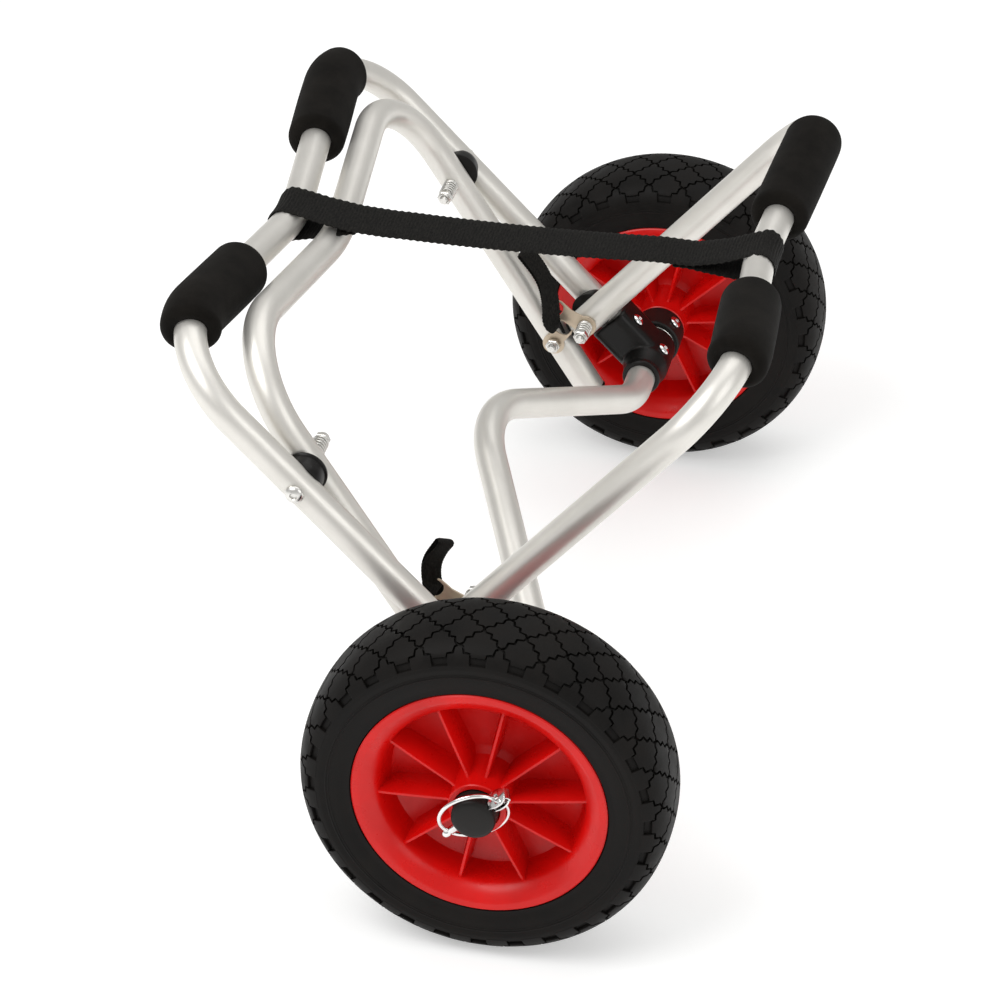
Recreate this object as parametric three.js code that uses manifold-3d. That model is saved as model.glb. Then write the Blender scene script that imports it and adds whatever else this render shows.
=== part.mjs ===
// A folding two-wheel trolley for a kayak or canoe, in millimetres, +Z up.
// +X points forward, +Y to the left along the axle. The origin is the centre of the
// object's footprint on the ground. Everything is laid out around the axle line.

import * as THREE from 'three';
import { mergeVertices } from 'three/addons/utils/BufferGeometryUtils.js';
import Module from 'manifold-3d';

const wasm = await Module();
wasm.setup();

// ---------- driving dimensions ----------

const GAP = 0.3; // clearance between neighbouring pieces

const TRACK = 646; // wheel centre to wheel centre
const TYRE_RADIUS = 125;
const TYRE_HALF_WIDTH = 36;
const RIM_RADIUS = 85.5; // outer edge of the rim's lip
const RIM_HALF_WIDTH = 34;
const RIB_COUNT = 10;
const WHEEL_SIDES = 28;

const TUBE_RADIUS = 11;
const TUBE_WALL = 1.5;
const TUBE_SIDES = 12;
const FOAM_RADIUS = 21;

const FRAME_ANGLE = 45.8; // slope of the front bow and cross tube, degrees
const REAR_ANGLE = 48.6; // slope of the rear bow
const STAND_ANGLE = 57.5; // slope of the kickstand

const FRONT_APEX = 307.5; // distance from the axle to the front bow's V, along its slope
const CROSS_APEX = 116.5; // the same for the cross tube's V
const STAND_PIVOT = 212; // from the axle to the stand's pivot, along the front bow
const REAR_PIVOT = 61.6; // from the axle to the rear bow's pivot, along the front bow
const STAND_LOW_BOLT = 149.6; // from the stand's pivot down its leg to the limiter bolt
const STAND_LEG_END = 201.1; // from the stand's pivot down to the end of its leg
const REAR_LEG_END = 12; // the rear bow's leg runs on past its pivot by this much

const OUTER_LEG_Y = 239.2; // the front bow's legs
const INNER_LEG_Y = 210; // the legs of the rear bow and of the stand

const BOLT_RADIUS = 3;
const BOLT_HOLE_RADIUS = 3.4;

const AXLE_X = 51; // the axle stands forward of the footprint's centre

const SIDES = { right: -1, left: 1 };

// ---------- materials ----------

function finish(color, roughness, metalness) {
  return new THREE.MeshStandardMaterial({ color, roughness, metalness });
}

const aluminium = finish(0xc8c6bf, 0.38, 0.9);
const foam = finish(0x262220, 0.95, 0);
const blackPlastic = finish(0x1c1b1a, 0.45, 0);
const redPlastic = finish(0xc40a0a, 0.4, 0);
const rubber = finish(0x232221, 0.7, 0);
const zinc = finish(0xb9b8b2, 0.35, 1);
const nickel = finish(0xc8b9a5, 0.4, 1);
const webbing = finish(0x171615, 0.9, 0);

// ---------- solids ----------

const degrees = THREE.MathUtils.degToRad;

// The vertices and triangles of a closed geometry, with positions only.
function weld(geometry) {
  const bare = geometry.clone();
  for (const name of Object.keys(bare.attributes)) {
    if (name !== 'position') bare.deleteAttribute(name);
  }
  return mergeVertices(bare, 1e-3);
}

// A manifold solid from a closed geometry, turned so that its faces point out.
function solid(geometry) {
  const welded = weld(geometry);
  const vertProperties = new Float32Array(welded.attributes.position.array);
  const triVerts = new Uint32Array(welded.index.array);
  const made = new wasm.Manifold(new wasm.Mesh({ numProp: 3, vertProperties, triVerts }));
  if (made.volume() > 0) return made;
  for (let i = 0; i < triVerts.length; i += 3) {
    [triVerts[i], triVerts[i + 1]] = [triVerts[i + 1], triVerts[i]];
  }
  return new wasm.Manifold(new wasm.Mesh({ numProp: 3, vertProperties, triVerts }));
}

function geometryOf(made) {
  const mesh = made.getMesh();
  const geometry = new THREE.BufferGeometry();
  geometry.setAttribute('position', new THREE.BufferAttribute(mesh.vertProperties, 3));
  geometry.setIndex(new THREE.BufferAttribute(mesh.triVerts, 1));
  geometry.computeVertexNormals();
  return geometry;
}

// The first geometry joined to the rest.
const join = (first, ...rest) => rest.reduce((sum, next) => sum.add(solid(next)), solid(first));

// A manifold solid less each of the cutters.
const cut = (body, ...cutters) => cutters.reduce((left, cutter) => left.subtract(solid(cutter)), body);

const vector = (x, y, z) => new THREE.Vector3(x, y, z);
const alongY = vector(0, 1, 0);

// Moves a geometry whose own axis is +Y so that the axis points along direction.
function aim(geometry, centre, direction) {
  const turn = new THREE.Quaternion().setFromUnitVectors(alongY, direction.clone().normalize());
  return geometry.applyQuaternion(turn).translate(centre.x, centre.y, centre.z);
}

// A cylinder from one point to another.
function rod(from, to, radius, sides = 20) {
  const span = to.clone().sub(from);
  const centre = from.clone().add(to).multiplyScalar(0.5);
  return aim(new THREE.CylinderGeometry(radius, radius, span.length(), sides), centre, span);
}

// A cylinder along the axle direction at a point of the side view, between two y values.
const crossRod = (x, z, y0, y1, radius, sides) => rod(vector(x, y0, z), vector(x, y1, z), radius, sides);

// A solid of revolution about the axle direction from [radius, y] points, outline closed.
function turned(outline, segments) {
  const points = outline.map(([radius, y]) => new THREE.Vector2(radius, y));
  points.push(points[0].clone());
  return new THREE.LatheGeometry(points, segments);
}

const group = new THREE.Group();
group.position.set(AXLE_X, 0, TYRE_RADIUS);

function add(name, shape, material) {
  const geometry = shape.getMesh ? geometryOf(shape) : geometryOf(solid(shape));
  const mesh = new THREE.Mesh(geometry, material);
  mesh.name = name;
  group.add(mesh);
}

// ---------- bent tubes ----------

// A path with straight runs and round bends. It is sampled only where the tube turns, so
// a tube along it has long flat facets on its straight runs.
class BentPath extends THREE.Curve {
  constructor(corners, radii, stepsPerBend) {
    super();
    this.points = [];
    this.tangents = [];
    const ways = [];
    for (let i = 1; i < corners.length; i += 1) {
      ways.push(corners[i].clone().sub(corners[i - 1]).normalize());
    }
    this.put(corners[0], ways[0]);
    radii.forEach((radius, i) => this.bend(corners[i + 1], ways[i], ways[i + 1], radius, stepsPerBend[i]));
    this.put(corners[corners.length - 1], ways[ways.length - 1]);
  }

  put(point, tangent) {
    this.points.push(point.clone());
    this.tangents.push(tangent.clone());
  }

  // Round off a corner between two directions.
  bend(corner, before, after, radius, steps) {
    const angle = before.angleTo(after);
    const reach = radius * Math.tan(angle / 2);
    const start = corner.clone().addScaledVector(before, -reach);
    const inward = after.clone().addScaledVector(before, -after.dot(before)).normalize();
    for (let i = 0; i <= steps; i += 1) {
      const turn = (angle * i) / steps;
      const point = start.clone();
      point.addScaledVector(before, radius * Math.sin(turn));
      point.addScaledVector(inward, radius * (1 - Math.cos(turn)));
      const tangent = before.clone().multiplyScalar(Math.cos(turn));
      this.put(point, tangent.addScaledVector(inward, Math.sin(turn)));
    }
  }

  get steps() {
    return this.points.length - 1;
  }

  getPoint(t) {
    const place = t * this.steps;
    const index = Math.min(Math.floor(place), this.steps - 1);
    return this.points[index].clone().lerp(this.points[index + 1], place - index);
  }

  getPointAt(t) {
    return this.getPoint(t);
  }

  getTangentAt(t) {
    return this.tangents[Math.round(t * this.steps)].clone();
  }

  // The part of the path between two lengths measured from its middle.
  between(from, to, spacing) {
    const lengths = [0];
    for (let i = 1; i < this.points.length; i += 1) {
      lengths.push(lengths[i - 1] + this.points[i].distanceTo(this.points[i - 1]));
    }
    const middle = lengths[lengths.length - 1] / 2;
    const at = (length) => {
      const wanted = middle + length;
      const index = Math.max(1, lengths.findIndex((sum) => sum >= wanted));
      const share = (wanted - lengths[index - 1]) / (lengths[index] - lengths[index - 1]);
      return this.points[index - 1].clone().lerp(this.points[index], share);
    };
    const count = Math.round(Math.abs(to - from) / spacing);
    const places = Array.from({ length: count + 1 }, (_, i) => at(from + ((to - from) * i) / count));
    const part = new BentPath([places[0], places[1]], [], []);
    part.points = places;
    part.tangents = places.map((_, i) => {
      const ahead = places[Math.min(i + 1, count)];
      return ahead.clone().sub(places[Math.max(i - 1, 0)]).normalize();
    });
    return part;
  }
}

// A round pipe, or a solid bar where inner is 0, along a path.
function pipe(path, outer, inner) {
  const section = new THREE.Shape().absarc(0, 0, outer, 0, 2 * Math.PI, false);
  if (inner > 0) section.holes.push(new THREE.Path().absarc(0, 0, inner, 0, 2 * Math.PI, true));
  const options = { steps: path.steps, curveSegments: TUBE_SIDES / 2, extrudePath: path };
  return new THREE.ExtrudeGeometry(section, options);
}

// ---------- the frame's planes and pivots ----------

// Down the slope of the front bow, towards the axle, and out of its plane.
const frontDown = vector(Math.cos(degrees(FRAME_ANGLE)), 0, -Math.sin(degrees(FRAME_ANGLE)));
const frontNormal = vector(Math.sin(degrees(FRAME_ANGLE)), 0, Math.cos(degrees(FRAME_ANGLE)));
const standDown = vector(Math.cos(degrees(STAND_ANGLE)), 0, -Math.sin(degrees(STAND_ANGLE)));
const rearDown = vector(-Math.cos(degrees(REAR_ANGLE)), 0, -Math.sin(degrees(REAR_ANGLE)));

// A point of the front bow's plane: distance up from the axle, across, and height above it.
function onFrame(up, y, height = 0) {
  return vector(0, y, 0).addScaledVector(frontDown, -up).addScaledVector(frontNormal, height);
}

const standPivot = onFrame(STAND_PIVOT, 0);
const rearPivot = onFrame(REAR_PIVOT, 0);
const lowBolt = standPivot.clone().addScaledVector(standDown, STAND_LOW_BOLT);

// A V-topped bow with two round shoulders and parallel legs. Lengths run down the slope
// from the V, so the shoulders, which stand higher than the V, have a negative one.
function bowPath({ apex, down, shoulder, legY, legEnd, apexBend, shoulderBend }) {
  const at = (length, y) => apex.clone().addScaledVector(down, length).add(vector(0, y, 0));
  const right = [at(legEnd, -legY), at(-shoulder, -legY)];
  const left = [at(-shoulder, legY), at(legEnd, legY)];
  return new BentPath([...right, at(0, 0), ...left], [shoulderBend, apexBend, shoulderBend], [6, 2, 6]);
}

const FRONT_LEG_END = FRONT_APEX - 14; // the legs end inside the brackets
const frontPath = bowPath({
  apex: onFrame(FRONT_APEX, 0),
  down: frontDown,
  shoulder: 35,
  legY: OUTER_LEG_Y,
  legEnd: FRONT_LEG_END,
  apexBend: 154,
  shoulderBend: 59,
});

const REAR_APEX = 243; // up the slope from the rear pivot to the rear bow's V
const rearPath = bowPath({
  apex: rearPivot.clone().addScaledVector(rearDown, -REAR_APEX),
  down: rearDown,
  shoulder: 26,
  legY: INNER_LEG_Y,
  legEnd: REAR_APEX + REAR_LEG_END,
  apexBend: 106,
  shoulderBend: 54,
});

const STAND_APEX = 65.9; // up the slope from the stand's pivot to its V
const standPath = bowPath({
  apex: standPivot.clone().addScaledVector(standDown, -STAND_APEX),
  down: standDown,
  shoulder: 31.5,
  legY: INNER_LEG_Y,
  legEnd: STAND_APEX + STAND_LEG_END,
  apexBend: 190,
  shoulderBend: 64,
});

// The cross tube is a shallow V between the brackets, and its ends lie on the axle line.
const CROSS_CORNER_Y = 172;
const CROSS_END_Y = 226;
const crossPath = new BentPath(
  [
    vector(0, -CROSS_END_Y, 0),
    vector(0, -CROSS_CORNER_Y, 0),
    onFrame(CROSS_APEX, 0),
    vector(0, CROSS_CORNER_Y, 0),
    vector(0, CROSS_END_Y, 0),
  ],
  [58, 72, 58],
  [3, 5, 3],
);

// Both pivots' bolts pass through the legs from side to side.
const FRAME_HALF = 300; // wider than the frame on each side
const boltHole = (at) => crossRod(at.x, at.z, -FRAME_HALF, FRAME_HALF, BOLT_HOLE_RADIUS, 10);

const bore = TUBE_RADIUS - TUBE_WALL;
const frontTube = cut(solid(pipe(frontPath, TUBE_RADIUS, bore)), boltHole(standPivot), boltHole(rearPivot));
add('front_bow_tube', frontTube, aluminium);
add('cross_tube', pipe(crossPath, TUBE_RADIUS, bore), aluminium);
add('rear_bow_tube', cut(solid(pipe(rearPath, TUBE_RADIUS, bore)), boltHole(rearPivot)), aluminium);
const standTube = cut(solid(pipe(standPath, TUBE_RADIUS, bore)), boltHole(standPivot), boltHole(lowBolt));
add('stand_tube', standTube, aluminium);

// ---------- foam pads ----------

// Each pad is a foam sleeve on one arm of a V, between these lengths from the V's middle.
const PADS = [
  { name: 'front_pad', path: frontPath, right: [98, 203], left: [98, 204] },
  { name: 'rear_pad', path: rearPath, right: [74, 172], left: [52, 163] },
];
const PAD_BORE = TUBE_RADIUS + 1.7;
const PAD_SPACING = 16; // between the rings of a pad
for (const pad of PADS) {
  for (const [side, sign] of Object.entries(SIDES)) {
    const [from, to] = pad[side];
    const part = pad.path.between(sign * from, sign * to, PAD_SPACING);
    add(`${pad.name}_${side}`, pipe(part, FOAM_RADIUS, PAD_BORE), foam);
  }
}

// ---------- main strap ----------

// A flat webbing loop round both V's. Its two layers lie on each other between them.
const STRAP_WIDTH = 38;
const STRAP_THICKNESS = 1.8;
const STRAP_JOIN = 38; // from each V to where the layers meet
const STRAP_LEAVES = degrees(51); // where the lower layer leaves the tube, below level
const STRAP_STAND_OFF = 2.2; // from the tube to the webbing's inner face

function strapLoop() {
  const frontEye = frontPath.getPoint(0.5);
  const rearEye = rearPath.getPoint(0.5);
  const inner = TUBE_RADIUS + STRAP_STAND_OFF;
  const outer = inner + STRAP_THICKNESS;
  const joinFront = new THREE.Vector2(frontEye.x + STRAP_JOIN, frontEye.z + inner - 1);
  const joinRear = new THREE.Vector2(rearEye.x - STRAP_JOIN, rearEye.z + inner - 1);
  const outline = new THREE.Shape();
  outline.absarc(rearEye.x, rearEye.z, outer, Math.PI / 2, -Math.PI + STRAP_LEAVES, true);
  outline.lineTo(joinRear.x, joinRear.y - STRAP_THICKNESS);
  outline.lineTo(joinFront.x, joinFront.y - STRAP_THICKNESS);
  outline.absarc(frontEye.x, frontEye.z, outer, -STRAP_LEAVES, -1.5 * Math.PI, true);
  outline.closePath();
  const frontHole = new THREE.Path();
  frontHole.absarc(frontEye.x, frontEye.z, inner, -1.5 * Math.PI, -STRAP_LEAVES, false);
  frontHole.lineTo(joinFront.x - 2, joinFront.y - 0.5);
  frontHole.closePath();
  const rearHole = new THREE.Path();
  rearHole.absarc(rearEye.x, rearEye.z, inner, STRAP_LEAVES - Math.PI, Math.PI / 2, false);
  rearHole.lineTo(joinRear.x + 2, joinRear.y - 0.5);
  rearHole.closePath();
  outline.holes.push(frontHole, rearHole);
  const options = { depth: STRAP_WIDTH, bevelEnabled: false, curveSegments: 8 };
  const loop = new THREE.ExtrudeGeometry(outline, options);
  return loop.rotateX(Math.PI / 2).translate(0, STRAP_WIDTH / 2, 0);
}

add('main_strap', strapLoop(), webbing);

// ---------- wheel brackets ----------

// A moulded tee: one sleeve for the front bow's leg, and a barrel on the axle line that
// takes the cross tube from the inside and the stub axle's spigot from the outside.
const SLEEVE_TOP = 45; // the sleeve's end, up the slope from the axle
const SLEEVE_HALF = 17;
const SLEEVE_ROUND = 7; // the radius of its long edges
const LEG_BORE_START = 12.5; // from the axle line up to the floor of the leg's bore
const BARREL_RADIUS = 17.5;
const MOUTH_RADIUS = 14.5; // the barrel's inner end, round the cross tube
const BARREL_INNER_Y = 204;
const BARREL_OUTER_Y = 256.4;
const SOCKET_RADIUS = TUBE_RADIUS + GAP;
const SPIGOT_RADIUS = 10;
const SPIGOT_END_Y = 229;
const RIVET_RADIUS = 2.2;
const RIVET_HEAD_RADIUS = 4.7;
const RIVET_LENGTH = 5; // from the seat down to the shank's end
const RIVET_SIDES = 10;
const RIVETS = [
  { name: 'leg', up: 30, y: 235, seat: SLEEVE_HALF },
  { name: 'barrel', up: 0, y: 231, seat: BARREL_RADIUS },
];

// A block with rounded edges along the leg.
function sleeveBlock() {
  const round = SLEEVE_ROUND;
  const half = SLEEVE_HALF;
  const shape = new THREE.Shape();
  shape.absarc(half - round, half - round, round, 0, Math.PI / 2, false);
  shape.absarc(round - half, half - round, round, Math.PI / 2, Math.PI, false);
  shape.absarc(round - half, round - half, round, Math.PI, 1.5 * Math.PI, false);
  shape.absarc(half - round, round - half, round, 1.5 * Math.PI, 2 * Math.PI, false);
  const options = { depth: SLEEVE_TOP, bevelEnabled: false, curveSegments: 3 };
  const block = new THREE.ExtrudeGeometry(shape, options);
  const along = new THREE.Matrix4().makeBasis(frontNormal, alongY, frontDown.clone().negate());
  return block.applyMatrix4(along);
}

// A hole for a rivet's shank, square to the front bow's plane.
function rivetHole({ up, y, seat }, depth, sign) {
  const start = onFrame(up, sign * y, seat - depth);
  return rod(start, onFrame(up, sign * y, seat + 3), RIVET_RADIUS + GAP, RIVET_SIDES);
}

function bracket(sign) {
  const sleeve = sleeveBlock().translate(0, sign * OUTER_LEG_Y, 0);
  const outline = [
    [0, BARREL_INNER_Y],
    [MOUTH_RADIUS, BARREL_INNER_Y],
    [MOUTH_RADIUS + 1, BARREL_INNER_Y + 10],
    [BARREL_RADIUS, OUTER_LEG_Y - SLEEVE_HALF],
    [BARREL_RADIUS, BARREL_OUTER_Y],
    [0, BARREL_OUTER_Y],
  ];
  const barrel = turned(outline.map(([radius, y]) => [radius, sign * y]), 24);
  const legStart = onFrame(LEG_BORE_START, sign * OUTER_LEG_Y);
  const legBore = rod(legStart, onFrame(SLEEVE_TOP + 15, sign * OUTER_LEG_Y), SOCKET_RADIUS);
  const crossY = [BARREL_INNER_Y - 5, CROSS_END_Y + 1].map((y) => sign * y);
  const crossBore = crossRod(0, 0, ...crossY, SOCKET_RADIUS);
  const spigotY = [SPIGOT_END_Y - 1, BARREL_OUTER_Y + 4].map((y) => sign * y);
  const spigotBore = crossRod(0, 0, ...spigotY, SPIGOT_RADIUS + GAP);
  const holes = RIVETS.map((each) => rivetHole(each, each.seat - SOCKET_RADIUS + 3, sign));
  return cut(join(sleeve, barrel), legBore, crossBore, spigotBore, ...holes);
}

// A blind rivet: a low domed head on a short shank.
function rivet({ up, y, seat }, sign) {
  const outline = [
    new THREE.Vector2(0, -RIVET_LENGTH),
    new THREE.Vector2(RIVET_RADIUS, -RIVET_LENGTH),
    new THREE.Vector2(RIVET_RADIUS, GAP),
    new THREE.Vector2(RIVET_HEAD_RADIUS, GAP),
    new THREE.Vector2(RIVET_HEAD_RADIUS, GAP + 0.8),
    new THREE.Vector2(2.6, GAP + 1.9),
    new THREE.Vector2(0, GAP + 2.1),
  ];
  return aim(new THREE.LatheGeometry(outline, RIVET_SIDES), onFrame(up, sign * y, seat), frontNormal);
}

// ---------- stub axles ----------

const COLLAR_RADIUS = 19.5;
const COLLAR_INNER_Y = 258.9;
const COLLAR_OUTER_Y = 283.5;
const JOURNAL_RADIUS = 14.8;
const AXLE_END_Y = 375;
const AXLE_SIDES = 20;
const PIN_Y = 368.5;
const PIN_RADIUS = 3;
const PIN_SIDES = 14;
const PIN_ANGLE = 43;
const pinWay = vector(Math.cos(degrees(PIN_ANGLE)), 0, Math.sin(degrees(PIN_ANGLE)));
const COLLAR_RIVET = { name: 'collar', up: 0, y: 272, seat: COLLAR_RADIUS };

function stubAxle(sign) {
  const outline = [
    [0, SPIGOT_END_Y],
    [SPIGOT_RADIUS, SPIGOT_END_Y],
    [SPIGOT_RADIUS, COLLAR_INNER_Y],
    [COLLAR_RADIUS - 1.5, COLLAR_INNER_Y],
    [COLLAR_RADIUS, COLLAR_INNER_Y + 1.5],
    [COLLAR_RADIUS, COLLAR_OUTER_Y],
    [JOURNAL_RADIUS, COLLAR_OUTER_Y],
    [JOURNAL_RADIUS, AXLE_END_Y - 1.5],
    [JOURNAL_RADIUS - 1.5, AXLE_END_Y],
    [0, AXLE_END_Y],
  ];
  const body = solid(turned(outline.map(([radius, y]) => [radius, sign * y]), AXLE_SIDES));
  const centre = vector(0, sign * PIN_Y, 0);
  const ends = [-30, 30].map((length) => centre.clone().addScaledVector(pinWay, length));
  const pinHole = rod(...ends, PIN_RADIUS + GAP, PIN_SIDES);
  return cut(body, pinHole, rivetHole(COLLAR_RIVET, RIVET_LENGTH + 0.5, sign));
}

const WASHER_RADIUS = 16.5;

// A flat ring on the axle line.
function ring(inner, outer, y0, y1) {
  return turned([[inner, y0], [outer, y0], [outer, y1], [inner, y1]], AXLE_SIDES);
}

for (const [side, sign] of Object.entries(SIDES)) {
  add(`wheel_bracket_${side}`, bracket(sign), blackPlastic);
  for (const each of [...RIVETS, COLLAR_RIVET]) {
    add(`${each.name}_rivet_${side}`, rivet(each, sign), zinc);
  }
  add(`stub_axle_${side}`, stubAxle(sign), blackPlastic);
  const washerY = [BARREL_OUTER_Y + GAP, COLLAR_INNER_Y - GAP].map((y) => sign * y);
  add(`axle_washer_${side}`, ring(SPIGOT_RADIUS + GAP, WASHER_RADIUS, ...washerY), zinc);
}

// ---------- wheels ----------

const HUB_RADIUS = 18.2;
const HUB_BORE = JOURNAL_RADIUS + GAP;
const SEAT_RADIUS = 72; // the rim's bed between its lips
const SEAT_HALF = 16;
const HUB_HALF_WIDTH = 39;
const WEB_HALF = 3; // half the thickness of the wheel's disc
const RIB_THICKNESS = 3;
const POCKET_RADIUS = 66; // the outer wall of the pockets between the ribs
const RIB_TURN = -5.8; // of the first rib above the axle, degrees
const RIB_OUTLINE = [[HUB_RADIUS - 1, 0], [67.5, 0], [71.5, 25], [26, 28], [HUB_RADIUS - 1, 29]];

// The rim, its disc and its hub as one outline, then the ribs on both faces.
function wheelRim(sign) {
  const half = [
    [HUB_BORE, HUB_HALF_WIDTH],
    [HUB_RADIUS - 0.8, HUB_HALF_WIDTH],
    [HUB_RADIUS + 1.5, WEB_HALF],
    [POCKET_RADIUS, WEB_HALF],
    [69.5, 24],
    [79.5, RIM_HALF_WIDTH],
    [RIM_RADIUS, RIM_HALF_WIDTH],
    [RIM_RADIUS, RIM_HALF_WIDTH - 3],
    [77.5, RIM_HALF_WIDTH - 4],
    [SEAT_RADIUS, SEAT_HALF],
  ];
  const other = half.map(([radius, y]) => [radius, -y]).reverse();
  const centre = (sign * TRACK) / 2;
  const outline = [...half, ...other].map(([radius, y]) => [radius, centre + y]);
  const ribs = [];
  for (let i = 0; i < RIB_COUNT; i += 1) {
    for (const face of [-1, 1]) {
      const shape = new THREE.Shape(RIB_OUTLINE.map(([radius, y]) => new THREE.Vector2(radius, face * y)));
      const rib = new THREE.ExtrudeGeometry(shape, { depth: RIB_THICKNESS, bevelEnabled: false });
      rib.translate(0, centre, -RIB_THICKNESS / 2);
      rib.rotateY(degrees(RIB_TURN + (360 * i) / RIB_COUNT));
      ribs.push(rib);
    }
  }
  return join(turned(outline, WHEEL_SIDES), ...ribs);
}

// The foam-filled tyre: beads inside the lips, round shoulders and a slightly crowned tread.
function tyre(sign) {
  const half = [
    [RIM_RADIUS - 8 + GAP, RIM_HALF_WIDTH - 4 - GAP],
    [RIM_RADIUS + GAP, RIM_HALF_WIDTH - 3 - GAP],
    [RIM_RADIUS + GAP, RIM_HALF_WIDTH - 1],
    [RIM_RADIUS + 3, RIM_HALF_WIDTH + 0.5],
    [94, TYRE_HALF_WIDTH],
    [106, TYRE_HALF_WIDTH],
    [115, TYRE_HALF_WIDTH - 4],
    [121.5, TYRE_HALF_WIDTH - 14],
    [TYRE_RADIUS, 8],
  ];
  const other = half.map(([radius, y]) => [radius, -y]).reverse();
  const seat = [[SEAT_RADIUS + GAP, -SEAT_HALF], [SEAT_RADIUS + GAP, SEAT_HALF]];
  const centre = (sign * TRACK) / 2;
  return turned([...half, ...other, ...seat].map(([radius, y]) => [radius, centre + y]), WHEEL_SIDES);
}

// ---------- linch pins ----------

const PIN_TIP = 25.2; // past the axle line on one side
const PIN_HEAD = [15.4, 24.5]; // the head's start and end on the other side
const PIN_HEAD_RADIUS = 5.5;
const RING_PIVOT = 20; // the ring passes through the head here
const RING_RADIUS = 23.5;
const RING_WIRE = 1.4;
const RING_TILT = 29; // the closed ring leans out of the wheel's plane, about the pin

function linchPin(sign) {
  const centre = vector(0, sign * PIN_Y, 0);
  const at = (length) => centre.clone().addScaledVector(pinWay, length);
  const shank = rod(at(-PIN_TIP), at(PIN_HEAD[0] + 1), PIN_RADIUS, PIN_SIDES);
  const head = rod(at(PIN_HEAD[0]), at(PIN_HEAD[1]), PIN_HEAD_RADIUS, 16);
  const across = ringAcross(sign);
  const ends = [-12, 12].map((length) => at(RING_PIVOT).addScaledVector(across, length));
  return cut(join(shank, head), rod(...ends, RING_WIRE + 0.9, 12));
}

// The ring lies in the plane of the pin and of this direction, square to the pin.
function ringAcross(sign) {
  return pinWay.clone().cross(alongY).applyAxisAngle(pinWay, -sign * degrees(RING_TILT));
}

function pinRing(sign) {
  const across = ringAcross(sign);
  const hoop = new THREE.TorusGeometry(RING_RADIUS, RING_WIRE, 6, 24);
  const basis = new THREE.Matrix4().makeBasis(pinWay, across, pinWay.clone().cross(across));
  const centre = vector(0, sign * PIN_Y, 0).addScaledVector(pinWay, RING_PIVOT - RING_RADIUS);
  return hoop.applyMatrix4(basis).translate(centre.x, centre.y, centre.z);
}

for (const [side, sign] of Object.entries(SIDES)) {
  add(`wheel_rim_${side}`, wheelRim(sign), redPlastic);
  add(`tyre_${side}`, tyre(sign), rubber);
  add(`linch_pin_${side}`, linchPin(sign), zinc);
  add(`linch_ring_${side}`, pinRing(sign), zinc);
}

// ---------- pivots ----------

const SADDLE_RADIUS = 15;
const HEAD_RADIUS = 6.5;
const HEAD_HEIGHT = 3.4;
const BOLT_SIDES = 12;
const NUT_RADIUS = 5.8;
const SPRING_RADIUS = 5.2; // centre of the wire
const SPRING_WIRE = 0.9;
const SPRING_TURNS = 3;
const NUT_LENGTH = 6;

// A spacer between two legs, cupped round the outer one and flat towards the inner one.
function saddle(at, sign) {
  const flatY = sign * (INNER_LEG_Y + TUBE_RADIUS + GAP);
  const puck = solid(crossRod(at.x, at.z, flatY, sign * (OUTER_LEG_Y - 3), SADDLE_RADIUS, 24));
  const legCentre = at.clone().add(vector(0, sign * OUTER_LEG_Y, 0));
  const ends = [-40, 40].map((length) => legCentre.clone().addScaledVector(frontDown, length));
  return cut(puck, rod(...ends, TUBE_RADIUS + GAP), boltHole(at));
}

// A round-headed bolt from outside to a given y inside.
function bolt(at, sign, headY, endY) {
  const head = crossRod(at.x, at.z, sign * headY, sign * (headY + HEAD_HEIGHT), HEAD_RADIUS, 18);
  return join(head, crossRod(at.x, at.z, sign * endY, sign * (headY + 1), BOLT_RADIUS, BOLT_SIDES));
}

function nut(at, sign, outerY) {
  const innerY = outerY - NUT_LENGTH;
  const body = solid(crossRod(at.x, at.z, sign * outerY, sign * innerY, NUT_RADIUS, 6));
  const threadY = [outerY + 2, innerY - 2].map((y) => sign * y);
  const thread = crossRod(at.x, at.z, ...threadY, BOLT_RADIUS + 0.2, BOLT_SIDES);
  return cut(body, thread);
}

// A short compression spring round the bolt.
class Coil extends THREE.Curve {
  constructor(at, sign, outerY, length) {
    super();
    Object.assign(this, { at, sign, outerY, length });
  }

  getPoint(t) {
    const turn = 2 * Math.PI * SPRING_TURNS * t;
    const y = this.sign * (this.outerY - SPRING_WIRE - (this.length - 2 * SPRING_WIRE) * t);
    const x = this.at.x + SPRING_RADIUS * Math.cos(turn);
    return vector(x, y, this.at.z + SPRING_RADIUS * Math.sin(turn));
  }
}

function spring(at, sign, outerY, length) {
  const wire = new THREE.Shape().absarc(0, 0, SPRING_WIRE, 0, 2 * Math.PI, false);
  const path = new Coil(at, sign, outerY, length);
  const options = { steps: 8 * SPRING_TURNS, curveSegments: 3, extrudePath: path };
  return new THREE.ExtrudeGeometry(wire, options);
}

const OUTER_HEAD_Y = OUTER_LEG_Y + TUBE_RADIUS + GAP;
const INNER_FACE_Y = INNER_LEG_Y - TUBE_RADIUS;
const PLATE_THICKNESS = 1.5;
const PIVOTS = [
  { name: 'stand_pivot', at: standPivot, springY: INNER_FACE_Y - GAP, length: 16.5 },
  { name: 'rear_pivot', at: rearPivot, springY: INNER_FACE_Y - PLATE_THICKNESS - 3 * GAP, length: 13 },
];

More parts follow.
